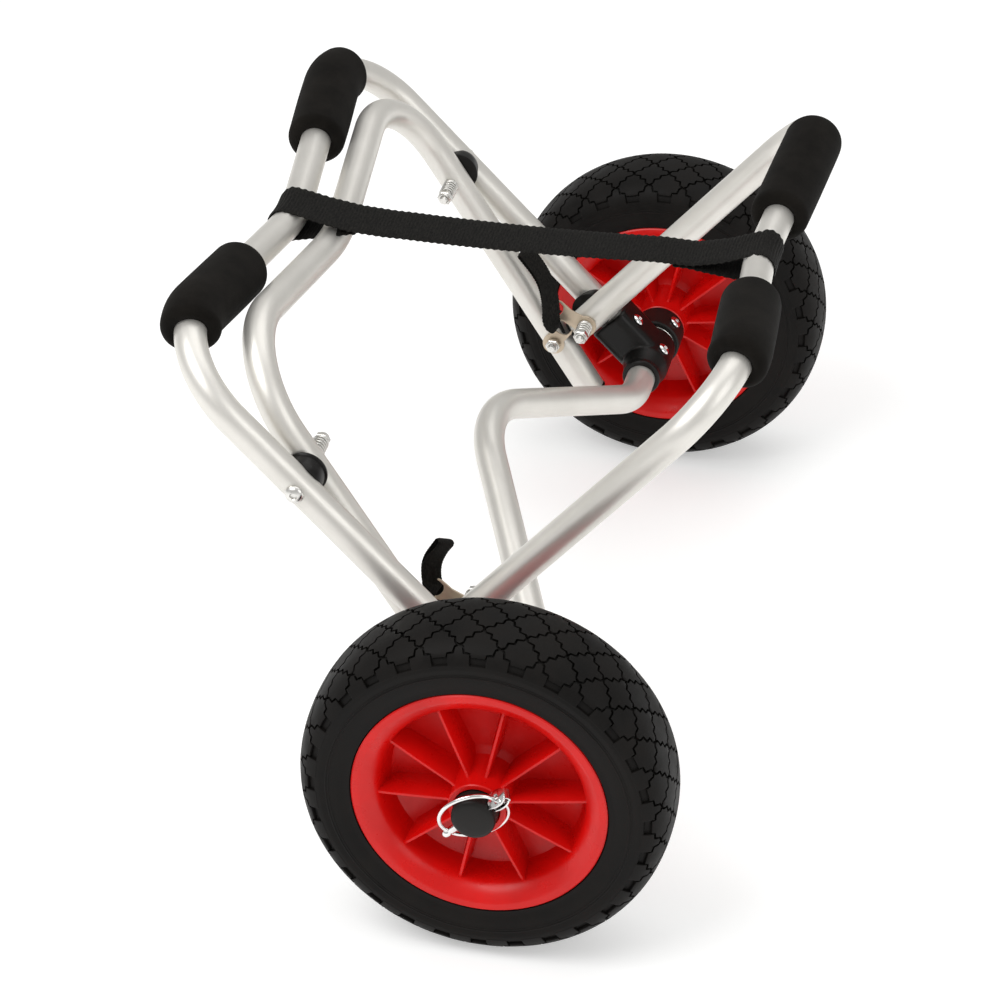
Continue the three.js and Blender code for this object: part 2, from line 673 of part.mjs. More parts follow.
for (const [side, sign] of Object.entries(SIDES)) {
  for (const { name, at, springY, length } of PIVOTS) {
    const nutY = springY - length - GAP;
    add(`${name}_saddle_${side}`, saddle(at, sign), blackPlastic);
    add(`${name}_bolt_${side}`, bolt(at, sign, OUTER_HEAD_Y, nutY - NUT_LENGTH - 2), zinc);
    add(`${name}_spring_${side}`, spring(at, sign, springY, length), zinc);
    add(`${name}_nut_${side}`, nut(at, sign, nutY), zinc);
  }
  const lowNutY = INNER_FACE_Y - PLATE_THICKNESS - 3 * GAP;
  const lowHeadY = INNER_LEG_Y + TUBE_RADIUS + GAP;
  add(`limiter_bolt_${side}`, bolt(lowBolt, sign, lowHeadY, lowNutY - NUT_LENGTH - 2), zinc);
  add(`limiter_nut_${side}`, nut(lowBolt, sign, lowNutY), zinc);
}

// ---------- limiter straps ----------

const PLATE_EYE_RADIUS = 8.5;
const LIMITER_WIDTH = 16;
const LIMITER_THICKNESS = 1.6;
const LIMITER_Y = 190; // between the two layers of webbing
const LIMITER_SPREAD = 2.2; // from there to each layer's centre
const PLATE_NECK = 5; // half the width of a plate's arm
const PLATE_BAR = 3.5; // half the depth of the bar at its tip
const rearPlateTip = vector(-64, 0, 55.5);
const standPlateTip = vector(-57.5, 0, 31.5);

// A flat steel link in the side view's plane: an eye round a bolt, an arm and a slotted bar.
function plate(at, tip, sign) {
  const arm = tip.clone().sub(at);
  const length = arm.length();
  const shape = new THREE.Shape();
  const open = Math.asin(PLATE_NECK / PLATE_EYE_RADIUS);
  shape.absarc(0, 0, PLATE_EYE_RADIUS, open, 2 * Math.PI - open, false);
  const bar = LIMITER_WIDTH / 2 + 2.5;
  shape.lineTo(length - PLATE_BAR, -PLATE_NECK);
  shape.lineTo(length - PLATE_BAR, -bar);
  shape.lineTo(length + PLATE_BAR, -bar);
  shape.lineTo(length + PLATE_BAR, bar);
  shape.lineTo(length - PLATE_BAR, bar);
  shape.lineTo(length - PLATE_BAR, PLATE_NECK);
  shape.closePath();
  shape.holes.push(new THREE.Path().absarc(0, 0, BOLT_HOLE_RADIUS, 0, 2 * Math.PI, true));
  const slot = LIMITER_WIDTH / 2;
  const slotPath = new THREE.Path();
  slotPath.moveTo(length - 1.5, -slot);
  slotPath.lineTo(length - 1.5, slot);
  slotPath.lineTo(length + 1.5, slot);
  slotPath.lineTo(length + 1.5, -slot);
  slotPath.closePath();
  shape.holes.push(slotPath);
  const options = { depth: PLATE_THICKNESS, bevelEnabled: false, curveSegments: 8 };
  const flat = new THREE.ExtrudeGeometry(shape, options);
  const way = arm.clone().normalize();
  const basis = new THREE.Matrix4().makeBasis(way, way.clone().cross(alongY).negate(), alongY.clone());
  const y = sign > 0 ? INNER_FACE_Y - GAP - PLATE_THICKNESS : -(INNER_FACE_Y - GAP);
  return flat.applyMatrix4(basis).translate(at.x, y, at.z);
}

// A slack fold of webbing: up from one plate, over and back down to the other.
function limiterWebbing(sign, topX) {
  const foot = vector(-60, 0, 44);
  const top = vector(topX, 0, 94);
  const rise = top.clone().sub(foot);
  const length = rise.length();
  const outer = LIMITER_SPREAD + LIMITER_THICKNESS / 2;
  const inner = LIMITER_SPREAD - LIMITER_THICKNESS / 2;
  const shape = new THREE.Shape();
  shape.moveTo(0, -outer);
  shape.lineTo(length - outer, -outer);
  shape.absarc(length - outer, 0, outer, -Math.PI / 2, Math.PI / 2, false);
  shape.lineTo(0, outer);
  shape.lineTo(0, inner);
  shape.absarc(length - outer, 0, inner, Math.PI / 2, -Math.PI / 2, true);
  shape.lineTo(0, -inner);
  shape.closePath();
  const options = { depth: LIMITER_WIDTH, bevelEnabled: false, curveSegments: 6 };
  const fold = new THREE.ExtrudeGeometry(shape, options);
  fold.translate(0, 0, -LIMITER_WIDTH / 2);
  const way = rise.clone().normalize();
  const basis = new THREE.Matrix4().makeBasis(way, alongY, way.clone().cross(alongY));
  return fold.applyMatrix4(basis).translate(foot.x, sign * LIMITER_Y, foot.z);
}

const LIMITER_TOP_X = { right: -62, left: -80 };
for (const [side, sign] of Object.entries(SIDES)) {
  add(`rear_limiter_plate_${side}`, plate(rearPivot, rearPlateTip, sign), nickel);
  add(`stand_limiter_plate_${side}`, plate(lowBolt, standPlateTip, sign), nickel);
  add(`limiter_webbing_${side}`, limiterWebbing(sign, LIMITER_TOP_X[side]), webbing);
}

// ---------- tube end plugs ----------

const PLUG_DEPTH = 7;
const PLUG_CLEARANCE = 0.7;

// A plug with a low domed cap on the open end of a leg.
function endPlug(end, down) {
  const outline = [
    new THREE.Vector2(0, -PLUG_DEPTH),
    new THREE.Vector2(bore - PLUG_CLEARANCE, -PLUG_DEPTH),
    new THREE.Vector2(bore - PLUG_CLEARANCE, GAP),
    new THREE.Vector2(TUBE_RADIUS, GAP),
    new THREE.Vector2(TUBE_RADIUS - 1, GAP + 2.2),
    new THREE.Vector2(0, GAP + 2.8),
  ];
  return aim(new THREE.LatheGeometry(outline, TUBE_SIDES), end, down);
}

for (const [side, sign] of Object.entries(SIDES)) {
  const rearEnd = rearPivot.clone().addScaledVector(rearDown, REAR_LEG_END);
  const standEnd = standPivot.clone().addScaledVector(standDown, STAND_LEG_END);
  rearEnd.y = sign * INNER_LEG_Y;
  standEnd.y = sign * INNER_LEG_Y;
  add(`stand_end_plug_${side}`, endPlug(standEnd, standDown), blackPlastic);
  add(`rear_end_plug_${side}`, endPlug(rearEnd, rearDown), blackPlastic);
}

export default group;
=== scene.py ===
"""Looks for a folding two-wheel kayak trolley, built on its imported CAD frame.

Shapes are worked out in millimetres about the axle line, with +X forward, +Y to the left
and +Z up, and are moved to the frame's place, in metres, when each mesh is made.
"""

import math

import bmesh
import bpy
import numpy as np
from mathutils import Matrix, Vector, noise


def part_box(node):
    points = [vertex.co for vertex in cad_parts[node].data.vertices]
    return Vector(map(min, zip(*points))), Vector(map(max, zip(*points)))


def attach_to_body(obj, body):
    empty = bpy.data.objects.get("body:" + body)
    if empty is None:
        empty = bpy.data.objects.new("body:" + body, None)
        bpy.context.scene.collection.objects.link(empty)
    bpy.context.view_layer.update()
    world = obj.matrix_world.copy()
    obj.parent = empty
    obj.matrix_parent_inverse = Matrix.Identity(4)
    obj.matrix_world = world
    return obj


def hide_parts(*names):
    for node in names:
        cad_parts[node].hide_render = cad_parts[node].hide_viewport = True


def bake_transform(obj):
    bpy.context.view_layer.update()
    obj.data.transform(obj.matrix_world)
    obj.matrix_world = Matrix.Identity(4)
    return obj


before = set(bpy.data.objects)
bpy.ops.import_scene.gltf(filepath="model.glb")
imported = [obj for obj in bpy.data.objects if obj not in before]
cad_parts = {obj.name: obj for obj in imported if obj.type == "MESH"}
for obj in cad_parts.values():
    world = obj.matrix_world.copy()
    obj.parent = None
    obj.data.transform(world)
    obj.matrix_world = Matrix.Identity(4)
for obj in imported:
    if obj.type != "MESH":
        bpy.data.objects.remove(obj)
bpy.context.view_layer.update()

MM = 0.001
SIDES = {"right": -1, "left": 1}

# ---------- places taken from the frame ----------


def middle(node):
    """The middle of a CAD node's box, in metres."""
    low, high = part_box(node)
    return (low + high) / 2


AXLE = Vector((middle("tyre_left").x, 0, middle("tyre_left").z))


def local(node):
    """The middle of a CAD node's box, in millimetres about the axle line."""
    return np.array((middle(node) - AXLE) / MM)


def side_point(node):
    """The same in the side view only, with y = 0."""
    return local(node) * (1, 0, 1)


STAND_PIVOT = side_point("stand_pivot_nut_left")
REAR_PIVOT = side_point("rear_pivot_nut_left")
LOW_BOLT = side_point("limiter_nut_left")
WHEEL_Y = abs(local("tyre_left")[1])
PIN_Y = abs(local("linch_pin_left")[1])
STRAP_WIDTH = (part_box("main_strap")[1].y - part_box("main_strap")[0].y) / MM

# ---------- driving dimensions, in millimetres ----------

TUBE_RADIUS = 11.0
TUBE_BORE = 9.5
FOAM_RADIUS = 21.0
FRAME_ANGLE = 45.8  # slope of the front bow and cross tube, degrees
REAR_ANGLE = 48.6  # slope of the rear bow
STAND_ANGLE = 57.5  # slope of the kickstand
OUTER_LEG_Y = 239.2  # the front bow's legs
INNER_LEG_Y = 210.0  # the legs of the rear bow and of the stand

Y_AXIS = np.array((0.0, 1.0, 0.0))
Z_AXIS = np.array((0.0, 0.0, 1.0))


def slope(angle, forward=1):
    """Unit vector down a slope in the side view."""
    return np.array((forward * math.cos(math.radians(angle)), 0, -math.sin(math.radians(angle))))


FRONT_DOWN = slope(FRAME_ANGLE)
STAND_DOWN = slope(STAND_ANGLE)
REAR_DOWN = slope(REAR_ANGLE, -1)
FRONT_NORMAL = np.cross(Y_AXIS, -FRONT_DOWN)


def on_frame(up, y=0.0, height=0.0):
    """A point of the front bow's plane: distance up from the axle, across, and above it."""
    return -up * FRONT_DOWN + y * Y_AXIS + height * FRONT_NORMAL


def in_frame(point):
    """A point in millimetres about the axle line, in the frame's metres."""
    return tuple(np.array(AXLE) + MM * np.asarray(point))


# ---------- lines of points ----------


def circle(count):
    """Angles evenly spaced round a circle."""
    return np.linspace(0, 2 * math.pi, count, endpoint=False)


def arc(centre, radius, start, stop, steps):
    """Points of a circle between two angles in degrees."""
    turns = np.radians(np.linspace(start, stop, steps + 1))
    return [(centre[0] + radius * math.cos(a), centre[1] + radius * math.sin(a)) for a in turns]


def mirrored(outline):
    """Half an outline of (radius, distance across) points, taken back on the other side."""
    return [(radius, -y) for radius, y in reversed(outline)]


def units(ways):
    """Rows of directions, each made one long."""
    return ways / np.linalg.norm(ways, axis=1)[:, None]


def tangents(points):
    """Unit directions along a line of points."""
    return units(np.gradient(points, axis=0))


def distances(points):
    """How far along a line of points each of them is."""
    return np.concatenate(([0], np.cumsum(np.linalg.norm(np.diff(points, axis=0), axis=1))))


def rows_at(places, lengths, rows):
    """Rows of numbers that go with lengths, read off at other places."""
    return np.stack([np.interp(places, lengths, column) for column in rows.T], -1)


def smooth_line(points, rounds=3):
    """Rounds off a polyline by cutting its corners, keeping its ends."""
    points = np.asarray(points, float)
    for _ in range(rounds):
        near = 0.75 * points[:-1] + 0.25 * points[1:]
        far = 0.25 * points[:-1] + 0.75 * points[1:]
        cut = np.stack((near, far), 1).reshape(-1, points.shape[1])
        points = np.concatenate((points[:1], cut, points[-1:]))
    return points


def resample(points, step):
    """Evenly spaced points along a smooth line through its corners."""
    points = smooth_line(points, 4)
    lengths = distances(points)
    places = np.linspace(0, lengths[-1], max(2, int(lengths[-1] / step)))
    return rows_at(places, lengths, points)


# ---------- meshes ----------


def make(name, vertices, faces, material, grain=None, crease=35):
    """A mesh object from millimetres about the axle line, smooth but for creases."""
    mesh = bpy.data.meshes.new(name)
    placed = np.asarray(vertices, float) * MM + np.array(AXLE)
    mesh.from_pydata(placed.tolist(), [], faces)
    work = bmesh.new()
    work.from_mesh(mesh)
    bmesh.ops.recalc_face_normals(work, faces=work.faces)
    work.to_mesh(mesh)
    work.free()
    if grain is not None:
        attribute = mesh.attributes.new("grain", "FLOAT_VECTOR", "POINT")
        attribute.data.foreach_set("vector", (np.asarray(grain, float) * MM).ravel())
    mesh.shade_smooth()
    mesh.set_sharp_from_angle(angle=math.radians(crease))
    thing = bpy.data.objects.new(name, mesh)
    bpy.context.scene.collection.objects.link(thing)
    thing.data.materials.append(material)
    return thing


def attach(thing, body, slot, *nodes):
    """Ride on a body and stand for CAD nodes; slot is not used."""
    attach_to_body(thing, body)
    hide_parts(*nodes)


def grid_faces(rows, columns, closed_rows):
    """Quads of a grid of vertices stored row by row; every row closes on itself."""
    faces = []
    for i in range(rows if closed_rows else rows - 1):
        near, far = i * columns, (i + 1) % rows * columns
        for j in range(columns):
            right = (j + 1) % columns
            faces.append((near + j, near + right, far + right, far + j))
    return faces


class Parts:
    """Collects several closed shells into one mesh."""

    def __init__(self):
        self.vertices = []
        self.faces = []

    def add(self, vertices, faces):
        start = len(self.vertices)
        self.vertices.extend(np.asarray(vertices, float).tolist())
        self.faces.extend(tuple(start + i for i in face) for face in faces)

    def grid(self, rings, closed_rows=False):
        """Rings joined in order: capped at both ends, or the last one back to the first."""
        rings = np.asarray(rings, float)
        rows, columns = rings.shape[:2]
        faces = grid_faces(rows, columns, closed_rows)
        if not closed_rows:
            faces.append(tuple(range(columns)))
            faces.append(tuple(range((rows - 1) * columns, rows * columns)))
        self.add(rings.reshape(-1, 3), faces)

    def build(self, name, material, crease=35):
        return make(name, self.vertices, self.faces, material, crease=crease)


def basis(direction):
    """Two unit vectors square to a direction."""
    direction = np.asarray(direction, float) / np.linalg.norm(direction)
    helper = np.array((0, 0, 1.0)) if abs(direction[2]) < 0.9 else np.array((1.0, 0, 0))
    first = np.cross(direction, helper)
    first /= np.linalg.norm(first)
    return first, np.cross(direction, first)


def turned(parts, outline, centre, direction, segments, hollow=False):
    """Adds (radius, distance along) points turned about a direction; a hollow outline is a loop."""
    direction = np.asarray(direction, float) / np.linalg.norm(direction)
    first, second = basis(direction)
    angles = circle(segments)
    round_ = np.cos(angles)[:, None] * first + np.sin(angles)[:, None] * second
    rings = [np.asarray(centre) + along * direction + radius * round_ for radius, along in outline]
    parts.grid(rings, closed_rows=hollow)


def sweep(parts, points, radius, sides):
    """Adds a round wire along a line of points."""
    points = np.asarray(points, float)
    ways = tangents(points)
    first, _ = basis(ways[0])
    turns = circle(sides)[:, None]
    rings = []
    for point, way in zip(points, ways):
        first = first - way * (first @ way)
        first /= np.linalg.norm(first)
        second = np.cross(way, first)
        rings.append(point + radius * (np.cos(turns) * first + np.sin(turns) * second))
    parts.grid(rings)


# ---------- bent tubes ----------


class Path:
    """A flat path with straight runs and round bends, measured from its middle."""

    def __init__(self, corners, radii, turn_step=3.0):
        corners = [np.asarray(c, float) for c in corners]
        ways = [b - a for a, b in zip(corners, corners[1:])]
        ways = [way / np.linalg.norm(way) for way in ways]
        self.normal = np.cross(Y_AXIS, corners[2] - corners[1])
        self.normal /= np.linalg.norm(self.normal)
        points, tangents = [corners[0]], [ways[0]]
        for corner, before, after, radius in zip(corners[1:], ways, ways[1:], radii):
            angle = math.acos(np.clip(before @ after, -1, 1))
            start = corner - before * radius * math.tan(angle / 2)
            inward = after - before * (after @ before)
            inward /= np.linalg.norm(inward)
            steps = max(2, round(math.degrees(angle) / turn_step))
            for turn in np.linspace(0, angle, steps + 1):
                sideways = inward * radius * (1 - math.cos(turn))
                points.append(start + before * radius * math.sin(turn) + sideways)
                tangents.append(before * math.cos(turn) + inward * math.sin(turn))
        points.append(corners[-1])
        tangents.append(ways[-1])
        self.points = np.array(points)
        self.tangents = np.array(tangents)
        self.lengths = distances(self.points)
        self.lengths -= self.lengths[-1] / 2

    def at(self, length):
        """The point and the direction at a distance from the middle."""
        point = rows_at(length, self.lengths, self.points)
        tangent = rows_at(length, self.lengths, self.tangents)
        return point, tangent / np.linalg.norm(tangent)

    def ring(self, length, radius, sides):
        """A circle of points round the path; radius may be a list, one for each point."""
        point, tangent = self.at(length)
        across = np.cross(tangent, self.normal)
        angles = circle(sides)[:, None]
        round_ = np.cos(angles) * self.normal + np.sin(angles) * across
        return point + np.reshape(radius, (-1, 1)) * round_


def bow_path(top, down, leg_y, leg_end, rise, bends):
    """A V-topped bow: the shoulders' rise above the V's foot, and bend radii of shoulder and V."""

    def at(length, y):
        return top + length * down + y * Y_AXIS

    corners = [at(leg_end, -leg_y), at(-rise, -leg_y), top, at(-rise, leg_y), at(leg_end, leg_y)]
    shoulder_bend, v_bend = bends
    return Path(corners, [shoulder_bend, v_bend, shoulder_bend])


# From the axle or the pivot up to the V's foot, and down to the end of the leg.
FRONT_APEX, FRONT_LEG_END = 307.5, -14
REAR_APEX, REAR_LEG_END = 243.0, 12.0
STAND_APEX, STAND_LEG_END = 65.9, 201.1
CROSS_APEX = 116.5
CROSS_CORNER_Y = 172.0
CROSS_END_Y = 226.0
CROSS_BENDS = [58, 72, 58]

front_path = bow_path(
    on_frame(FRONT_APEX), FRONT_DOWN, OUTER_LEG_Y, FRONT_APEX + FRONT_LEG_END, rise=35, bends=(59, 154)
)
rear_path = bow_path(
    REAR_PIVOT - REAR_APEX * REAR_DOWN,
    REAR_DOWN,
    INNER_LEG_Y,
    REAR_APEX + REAR_LEG_END,
    rise=26,
    bends=(54, 106),
)
stand_path = bow_path(
    STAND_PIVOT - STAND_APEX * STAND_DOWN,
    STAND_DOWN,
    INNER_LEG_Y,
    STAND_APEX + STAND_LEG_END,
    rise=31.5,
    bends=(64, 190),
)
cross_corners = [y * Y_AXIS for y in (-CROSS_END_Y, -CROSS_CORNER_Y, CROSS_CORNER_Y, CROSS_END_Y)]
cross_corners.insert(2, on_frame(CROSS_APEX))
cross_path = Path(cross_corners, CROSS_BENDS)


def tube(name, path, sides=48):
    """A hollow tube along a path, with a rounded lip on each end."""
    lip = 0.4
    low, high = path.lengths[0], path.lengths[-1]
    stations = [(low, TUBE_RADIUS - lip), (low + lip, TUBE_RADIUS)]
    stations += [(length, TUBE_RADIUS) for length in path.lengths[1:-1]]
    stations += [(high - lip, TUBE_RADIUS), (high, TUBE_RADIUS - lip), (high, TUBE_BORE)]
    stations += [(length, TUBE_BORE) for length in path.lengths[-2:0:-1]]
    stations += [(low, TUBE_BORE)]
    rings = [path.ring(length, radius, sides) for length, radius in stations]
    around = 2 * math.pi * TUBE_RADIUS / sides
    grain = [(length, j * around, 0) for length, _ in stations for j in range(sides)]
    faces = grid_faces(len(rings), sides, closed_rows=True)
    return make(name, np.concatenate(rings), faces, ALUMINIUM, grain=grain)


# ---------- materials ----------


class Shader:
    """A Principled material and short ways to add nodes to it."""

    def __init__(self, name, color, roughness, metallic=0.0, **sockets):
        self.material = bpy.data.materials.new(name)
        self.material.use_nodes = True
        self.tree = self.material.node_tree
        self.bsdf = self.tree.nodes["Principled BSDF"]
        self.bsdf.inputs["Base Color"].default_value = (*color, 1)
        self.bsdf.inputs["Roughness"].default_value = roughness
        self.bsdf.inputs["Metallic"].default_value = metallic
        for socket, value in sockets.items():
            self.bsdf.inputs[socket.replace("_", " ")].default_value = value
        self.bump = None

    def node(self, kind, **values):
        node = self.tree.nodes.new(kind)
        for key, value in values.items():
            if key in node.inputs:
                node.inputs[key].default_value = value
            else:
                setattr(node, key, value)
        return node

    def link(self, source, target):
        self.tree.links.new(source, target)

    def place(self, stretch=(1, 1, 1), grain=False):
        """Object coordinates, or a tube's own along-and-around ones, stretched."""
        if grain:
            source = self.node("ShaderNodeAttribute", attribute_name="grain").outputs["Vector"]
        else:
            source = self.node("ShaderNodeTexCoord").outputs["Object"]
        mapping = self.node("ShaderNodeMapping", Scale=stretch)
        self.link(source, mapping.inputs["Vector"])
        return mapping.outputs["Vector"]

    def noise(self, scale, detail=3, stretch=(1, 1, 1), grain=False, rough=0.55):
        node = self.node("ShaderNodeTexNoise", Scale=scale, Detail=detail, Roughness=rough)
        self.link(self.place(stretch, grain), node.inputs["Vector"])
        return node.outputs["Fac"]

    def cells(self, scale):
        node = self.node("ShaderNodeTexVoronoi", Scale=scale, feature="F1")
        self.link(self.place(), node.inputs["Vector"])
        return node.outputs["Distance"]

    def vary_roughness(self, value, low, high):
        """Roughness from low to high as a value rises."""
        ends = {"From Min": 0.3, "From Max": 0.7, "To Min": low, "To Max": high}
        node = self.node("ShaderNodeMapRange", **ends)
        self.link(value, node.inputs["Value"])
        self.link(node.outputs["Result"], self.bsdf.inputs["Roughness"])

    def vary_color(self, value, first, second, start=0.3, stop=0.7):
        """Base colour from first to second as a value rises."""
        ramp = self.node("ShaderNodeValToRGB")
        ramp.color_ramp.elements[0].position = start
        ramp.color_ramp.elements[1].position = stop
        ramp.color_ramp.elements[0].color = (*first, 1)
        ramp.color_ramp.elements[1].color = (*second, 1)
        self.link(value, ramp.inputs["Fac"])
        self.link(ramp.outputs["Color"], self.bsdf.inputs["Base Color"])

    def relief(self, value, depth, strength=1.0):
        """Bump of a real depth in millimetres; several are chained."""
        node = self.node("ShaderNodeBump", Strength=strength, Distance=depth * MM)
        self.link(value, node.inputs["Height"])
        if self.bump:
            self.link(self.bump.outputs["Normal"], node.inputs["Normal"])
        self.link(node.outputs["Normal"], self.bsdf.inputs["Normal"])
        self.bump = node


def aluminium():
    """Satin anodised tube: fine drawn streaks, a soft grain and faint handling marks."""
    shader = Shader("satin_aluminium", (0.74, 0.72, 0.675), 0.4, 0.7)
    streaks = shader.noise(900, 4, (0.05, 1.6, 1), grain=True)
    marks = shader.noise(14, 5, rough=0.6)
    shader.vary_color(marks, (0.71, 0.69, 0.645), (0.78, 0.76, 0.715), 0.35, 0.65)
    shader.vary_roughness(streaks, 0.34, 0.47)
    shader.relief(streaks, 0.02)
    shader.relief(shader.noise(2600, 2), 0.012)
    return shader.material


def foam():
    """Closed-cell foam: dull, finely pored, with a little dust."""
    sockets = {"Sheen_Weight": 0.02, "Sheen_Roughness": 0.6, "Specular_IOR_Level": 0.07}
    shader = Shader("pad_foam", (0.006, 0.005, 0.004), 0.9, **sockets)
    dust = shader.noise(45, 6, rough=0.65)
    shader.vary_color(dust, (0.0045, 0.0038, 0.003), (0.010, 0.0085, 0.007), 0.35, 0.7)
    shader.relief(shader.cells(1500), 0.10, 0.7)
    shader.relief(shader.noise(420, 4), 0.10, 0.6)
    shader.relief(shader.noise(60, 3), 0.25, 0.5)
    return shader.material


def moulded(name, color, low, high, grit, specular):
    """A moulded plastic with a faint grain and uneven gloss, its roughness from low to high."""
    shader = Shader(name, color, (low + high) / 2, Specular_IOR_Level=specular)
    cloud = shader.noise(60, 4)
    shader.vary_roughness(cloud, low, high)
    darker = tuple(c * 0.86 for c in color)
    lighter = tuple(min(1, c * 1.12) for c in color)
    shader.vary_color(shader.noise(22, 4), darker, lighter, 0.3, 0.7)
    shader.relief(shader.noise(1800, 3), grit)
    return shader.material


def rubber():
    """Tyre rubber: near black, with a little bloom and a fine mould texture."""
    shader = Shader("tyre_rubber", (0.006, 0.005, 0.0045), 0.55, Specular_IOR_Level=0.13)
    bloom = shader.noise(38, 6, rough=0.62)
    shader.vary_color(bloom, (0.0035, 0.003, 0.0026), (0.009, 0.0076, 0.0066), 0.35, 0.72)
    shader.vary_roughness(bloom, 0.46, 0.66)
    shader.relief(shader.noise(1300, 3), 0.05)
    return shader.material


def plated(name, color, low, high, metallic=1.0):
    """Plated or bare steel with fine scratches and uneven gloss."""
    shader = Shader(name, color, (low + high) / 2, metallic)
    cloud = shader.noise(160, 4)
    shader.vary_roughness(cloud, low, high)
    darker = tuple(c * 0.88 for c in color)
    lighter = tuple(min(1, c * 1.06) for c in color)
    shader.vary_color(cloud, darker, lighter)
    shader.relief(shader.noise(1500, 2, (1, 0.2, 1)), 0.012)
    return shader.material


def webbing(name, stretch):
    """Polyester webbing: dark yarns that catch a little light."""
    sockets = {"Sheen_Weight": 0.03, "Sheen_Roughness": 0.45, "Specular_IOR_Level": 0.11}
    shader = Shader(name, (0.009, 0.0085, 0.008), 0.75, **sockets)
    yarn = shader.noise(1100, 3, stretch)
    shader.vary_color(yarn, (0.0025, 0.0023, 0.0021), (0.015, 0.014, 0.012), 0.35, 0.7)
    shader.relief(yarn, 0.18)
    return shader.material


ALUMINIUM = aluminium()
FOAM = foam()
RUBBER = rubber()
RED = moulded("red_plastic", (0.62, 0.004, 0.003), 0.24, 0.38, 0.015, 0.34)
AXLE_BLACK = moulded("axle_plastic", (0.011, 0.0098, 0.0088), 0.42, 0.55, 0.03, 0.22)
BLACK = moulded("black_plastic", (0.0065, 0.006, 0.0055), 0.26, 0.42, 0.03, 0.22)
ZINC = plated("zinc_plate", (0.74, 0.73, 0.70), 0.20, 0.34)
CHROME = plated("bright_plate", (0.84, 0.84, 0.83), 0.07, 0.16)
NICKEL = plated("tan_plate", (0.60, 0.50, 0.38), 0.38, 0.55, 0.75)
STRAP = webbing("strap_webbing", (1, 0.35, 1))
LOOP = webbing("loop_webbing", (1, 1, 0.4))

# ---------- the four tubes ----------

attach(tube("front_bow", front_path), "frame", "tube", "front_bow_tube")
attach(tube("cross_bar", cross_path), "frame", "tube", "cross_tube")
attach(tube("rear_bow", rear_path), "rear_bow", "tube", "rear_bow_tube")
attach(tube("kickstand", stand_path), "stand", "tube", "stand_tube")

# ---------- foam pads ----------

# Each pad from its end nearest the middle of its bow to the other, along the bow.
PADS = {
    "front_pad": {"path": front_path, "body": "frame", "right": (98, 203), "left": (98, 204)},
    "rear_pad": {"path": rear_path, "body": "rear_bow", "right": (74, 172), "left": (52, 163)},
}
PAD_EDGE = 6.0  # roundness of a pad's ends
PAD_DISH = 1.2  # how far its end faces dip towards the tube
PAD_CROWN = 0.35
PAD_SLACK = 0.35
SLIP = 0.15  # between a tube and a bore that it fits


def foam_pad(name, path, start, end, sides=56):
    """A foam sleeve with rounded ends, a slight crown and slack in its surface."""
    low, high = min(start, end), max(start, end)
    turns = np.linspace(0, math.pi / 2, 7)
    edge = [(PAD_EDGE * (1 - math.sin(a)), -PAD_EDGE * (1 - math.cos(a))) for a in turns]
    stations = [(low + along, drop) for along, drop in reversed(edge)]
    stations += [(length, 0) for length in np.arange(low + PAD_EDGE + 2, high - PAD_EDGE - 1, 2.5)]
    stations += [(high - along, drop) for along, drop in edge]
    around = [Vector((math.cos(a), math.sin(a), 0)) for a in circle(sides)]
    rings = []
    for length, drop in stations:
        crown = PAD_CROWN * math.sin(math.pi * (length - low) / (high - low)) - PAD_CROWN
        centre = Vector(path.at(length)[0])
        slack = np.array([noise.noise(centre * 0.02 + way * 0.7) for way in around])
        rings.append(path.ring(length, FOAM_RADIUS + drop + crown + PAD_SLACK * slack, sides))
    bore = np.linspace(high - PAD_DISH, low + PAD_DISH, 24)
    rings += [path.ring(length, TUBE_RADIUS + SLIP, sides) for length in bore]
    faces = grid_faces(len(rings), sides, closed_rows=True)
    return make(name, np.concatenate(rings), faces, FOAM, crease=60)


for pad, facts in PADS.items():
    for side, sign in SIDES.items():
        start, end = facts[side]
        piece = foam_pad(f"{pad}_foam_{side}", facts["path"], sign * start, sign * end)
        attach(piece, facts["body"], "foam", f"{pad}_{side}")

# ---------- shaping helpers ----------


def bake(thing, kind, **settings):
    """Works one modifier into an object's mesh."""
    modifier = thing.modifiers.new(kind.lower(), kind)
    for key, value in settings.items():
        setattr(modifier, key, value)
    graph = bpy.context.evaluated_depsgraph_get()
    baked = bpy.data.meshes.new_from_object(thing.evaluated_get(graph))
    thing.modifiers.clear()
    thing.data = baked


def drill(thing, start, end, radius, segments=48, crease=40):
    """Cuts a round hole from one point to another."""
    hole = Parts()
    way = np.asarray(end, float) - start
    turned(hole, [(radius, 0), (radius, np.linalg.norm(way))], start, way, segments)
    cutter = hole.build("cutter", BLACK)
    bake(thing, "BOOLEAN", object=cutter, operation="DIFFERENCE", solver="EXACT")
    bpy.data.objects.remove(cutter)
    thing.data.shade_smooth()
    thing.data.set_sharp_from_angle(angle=math.radians(crease))


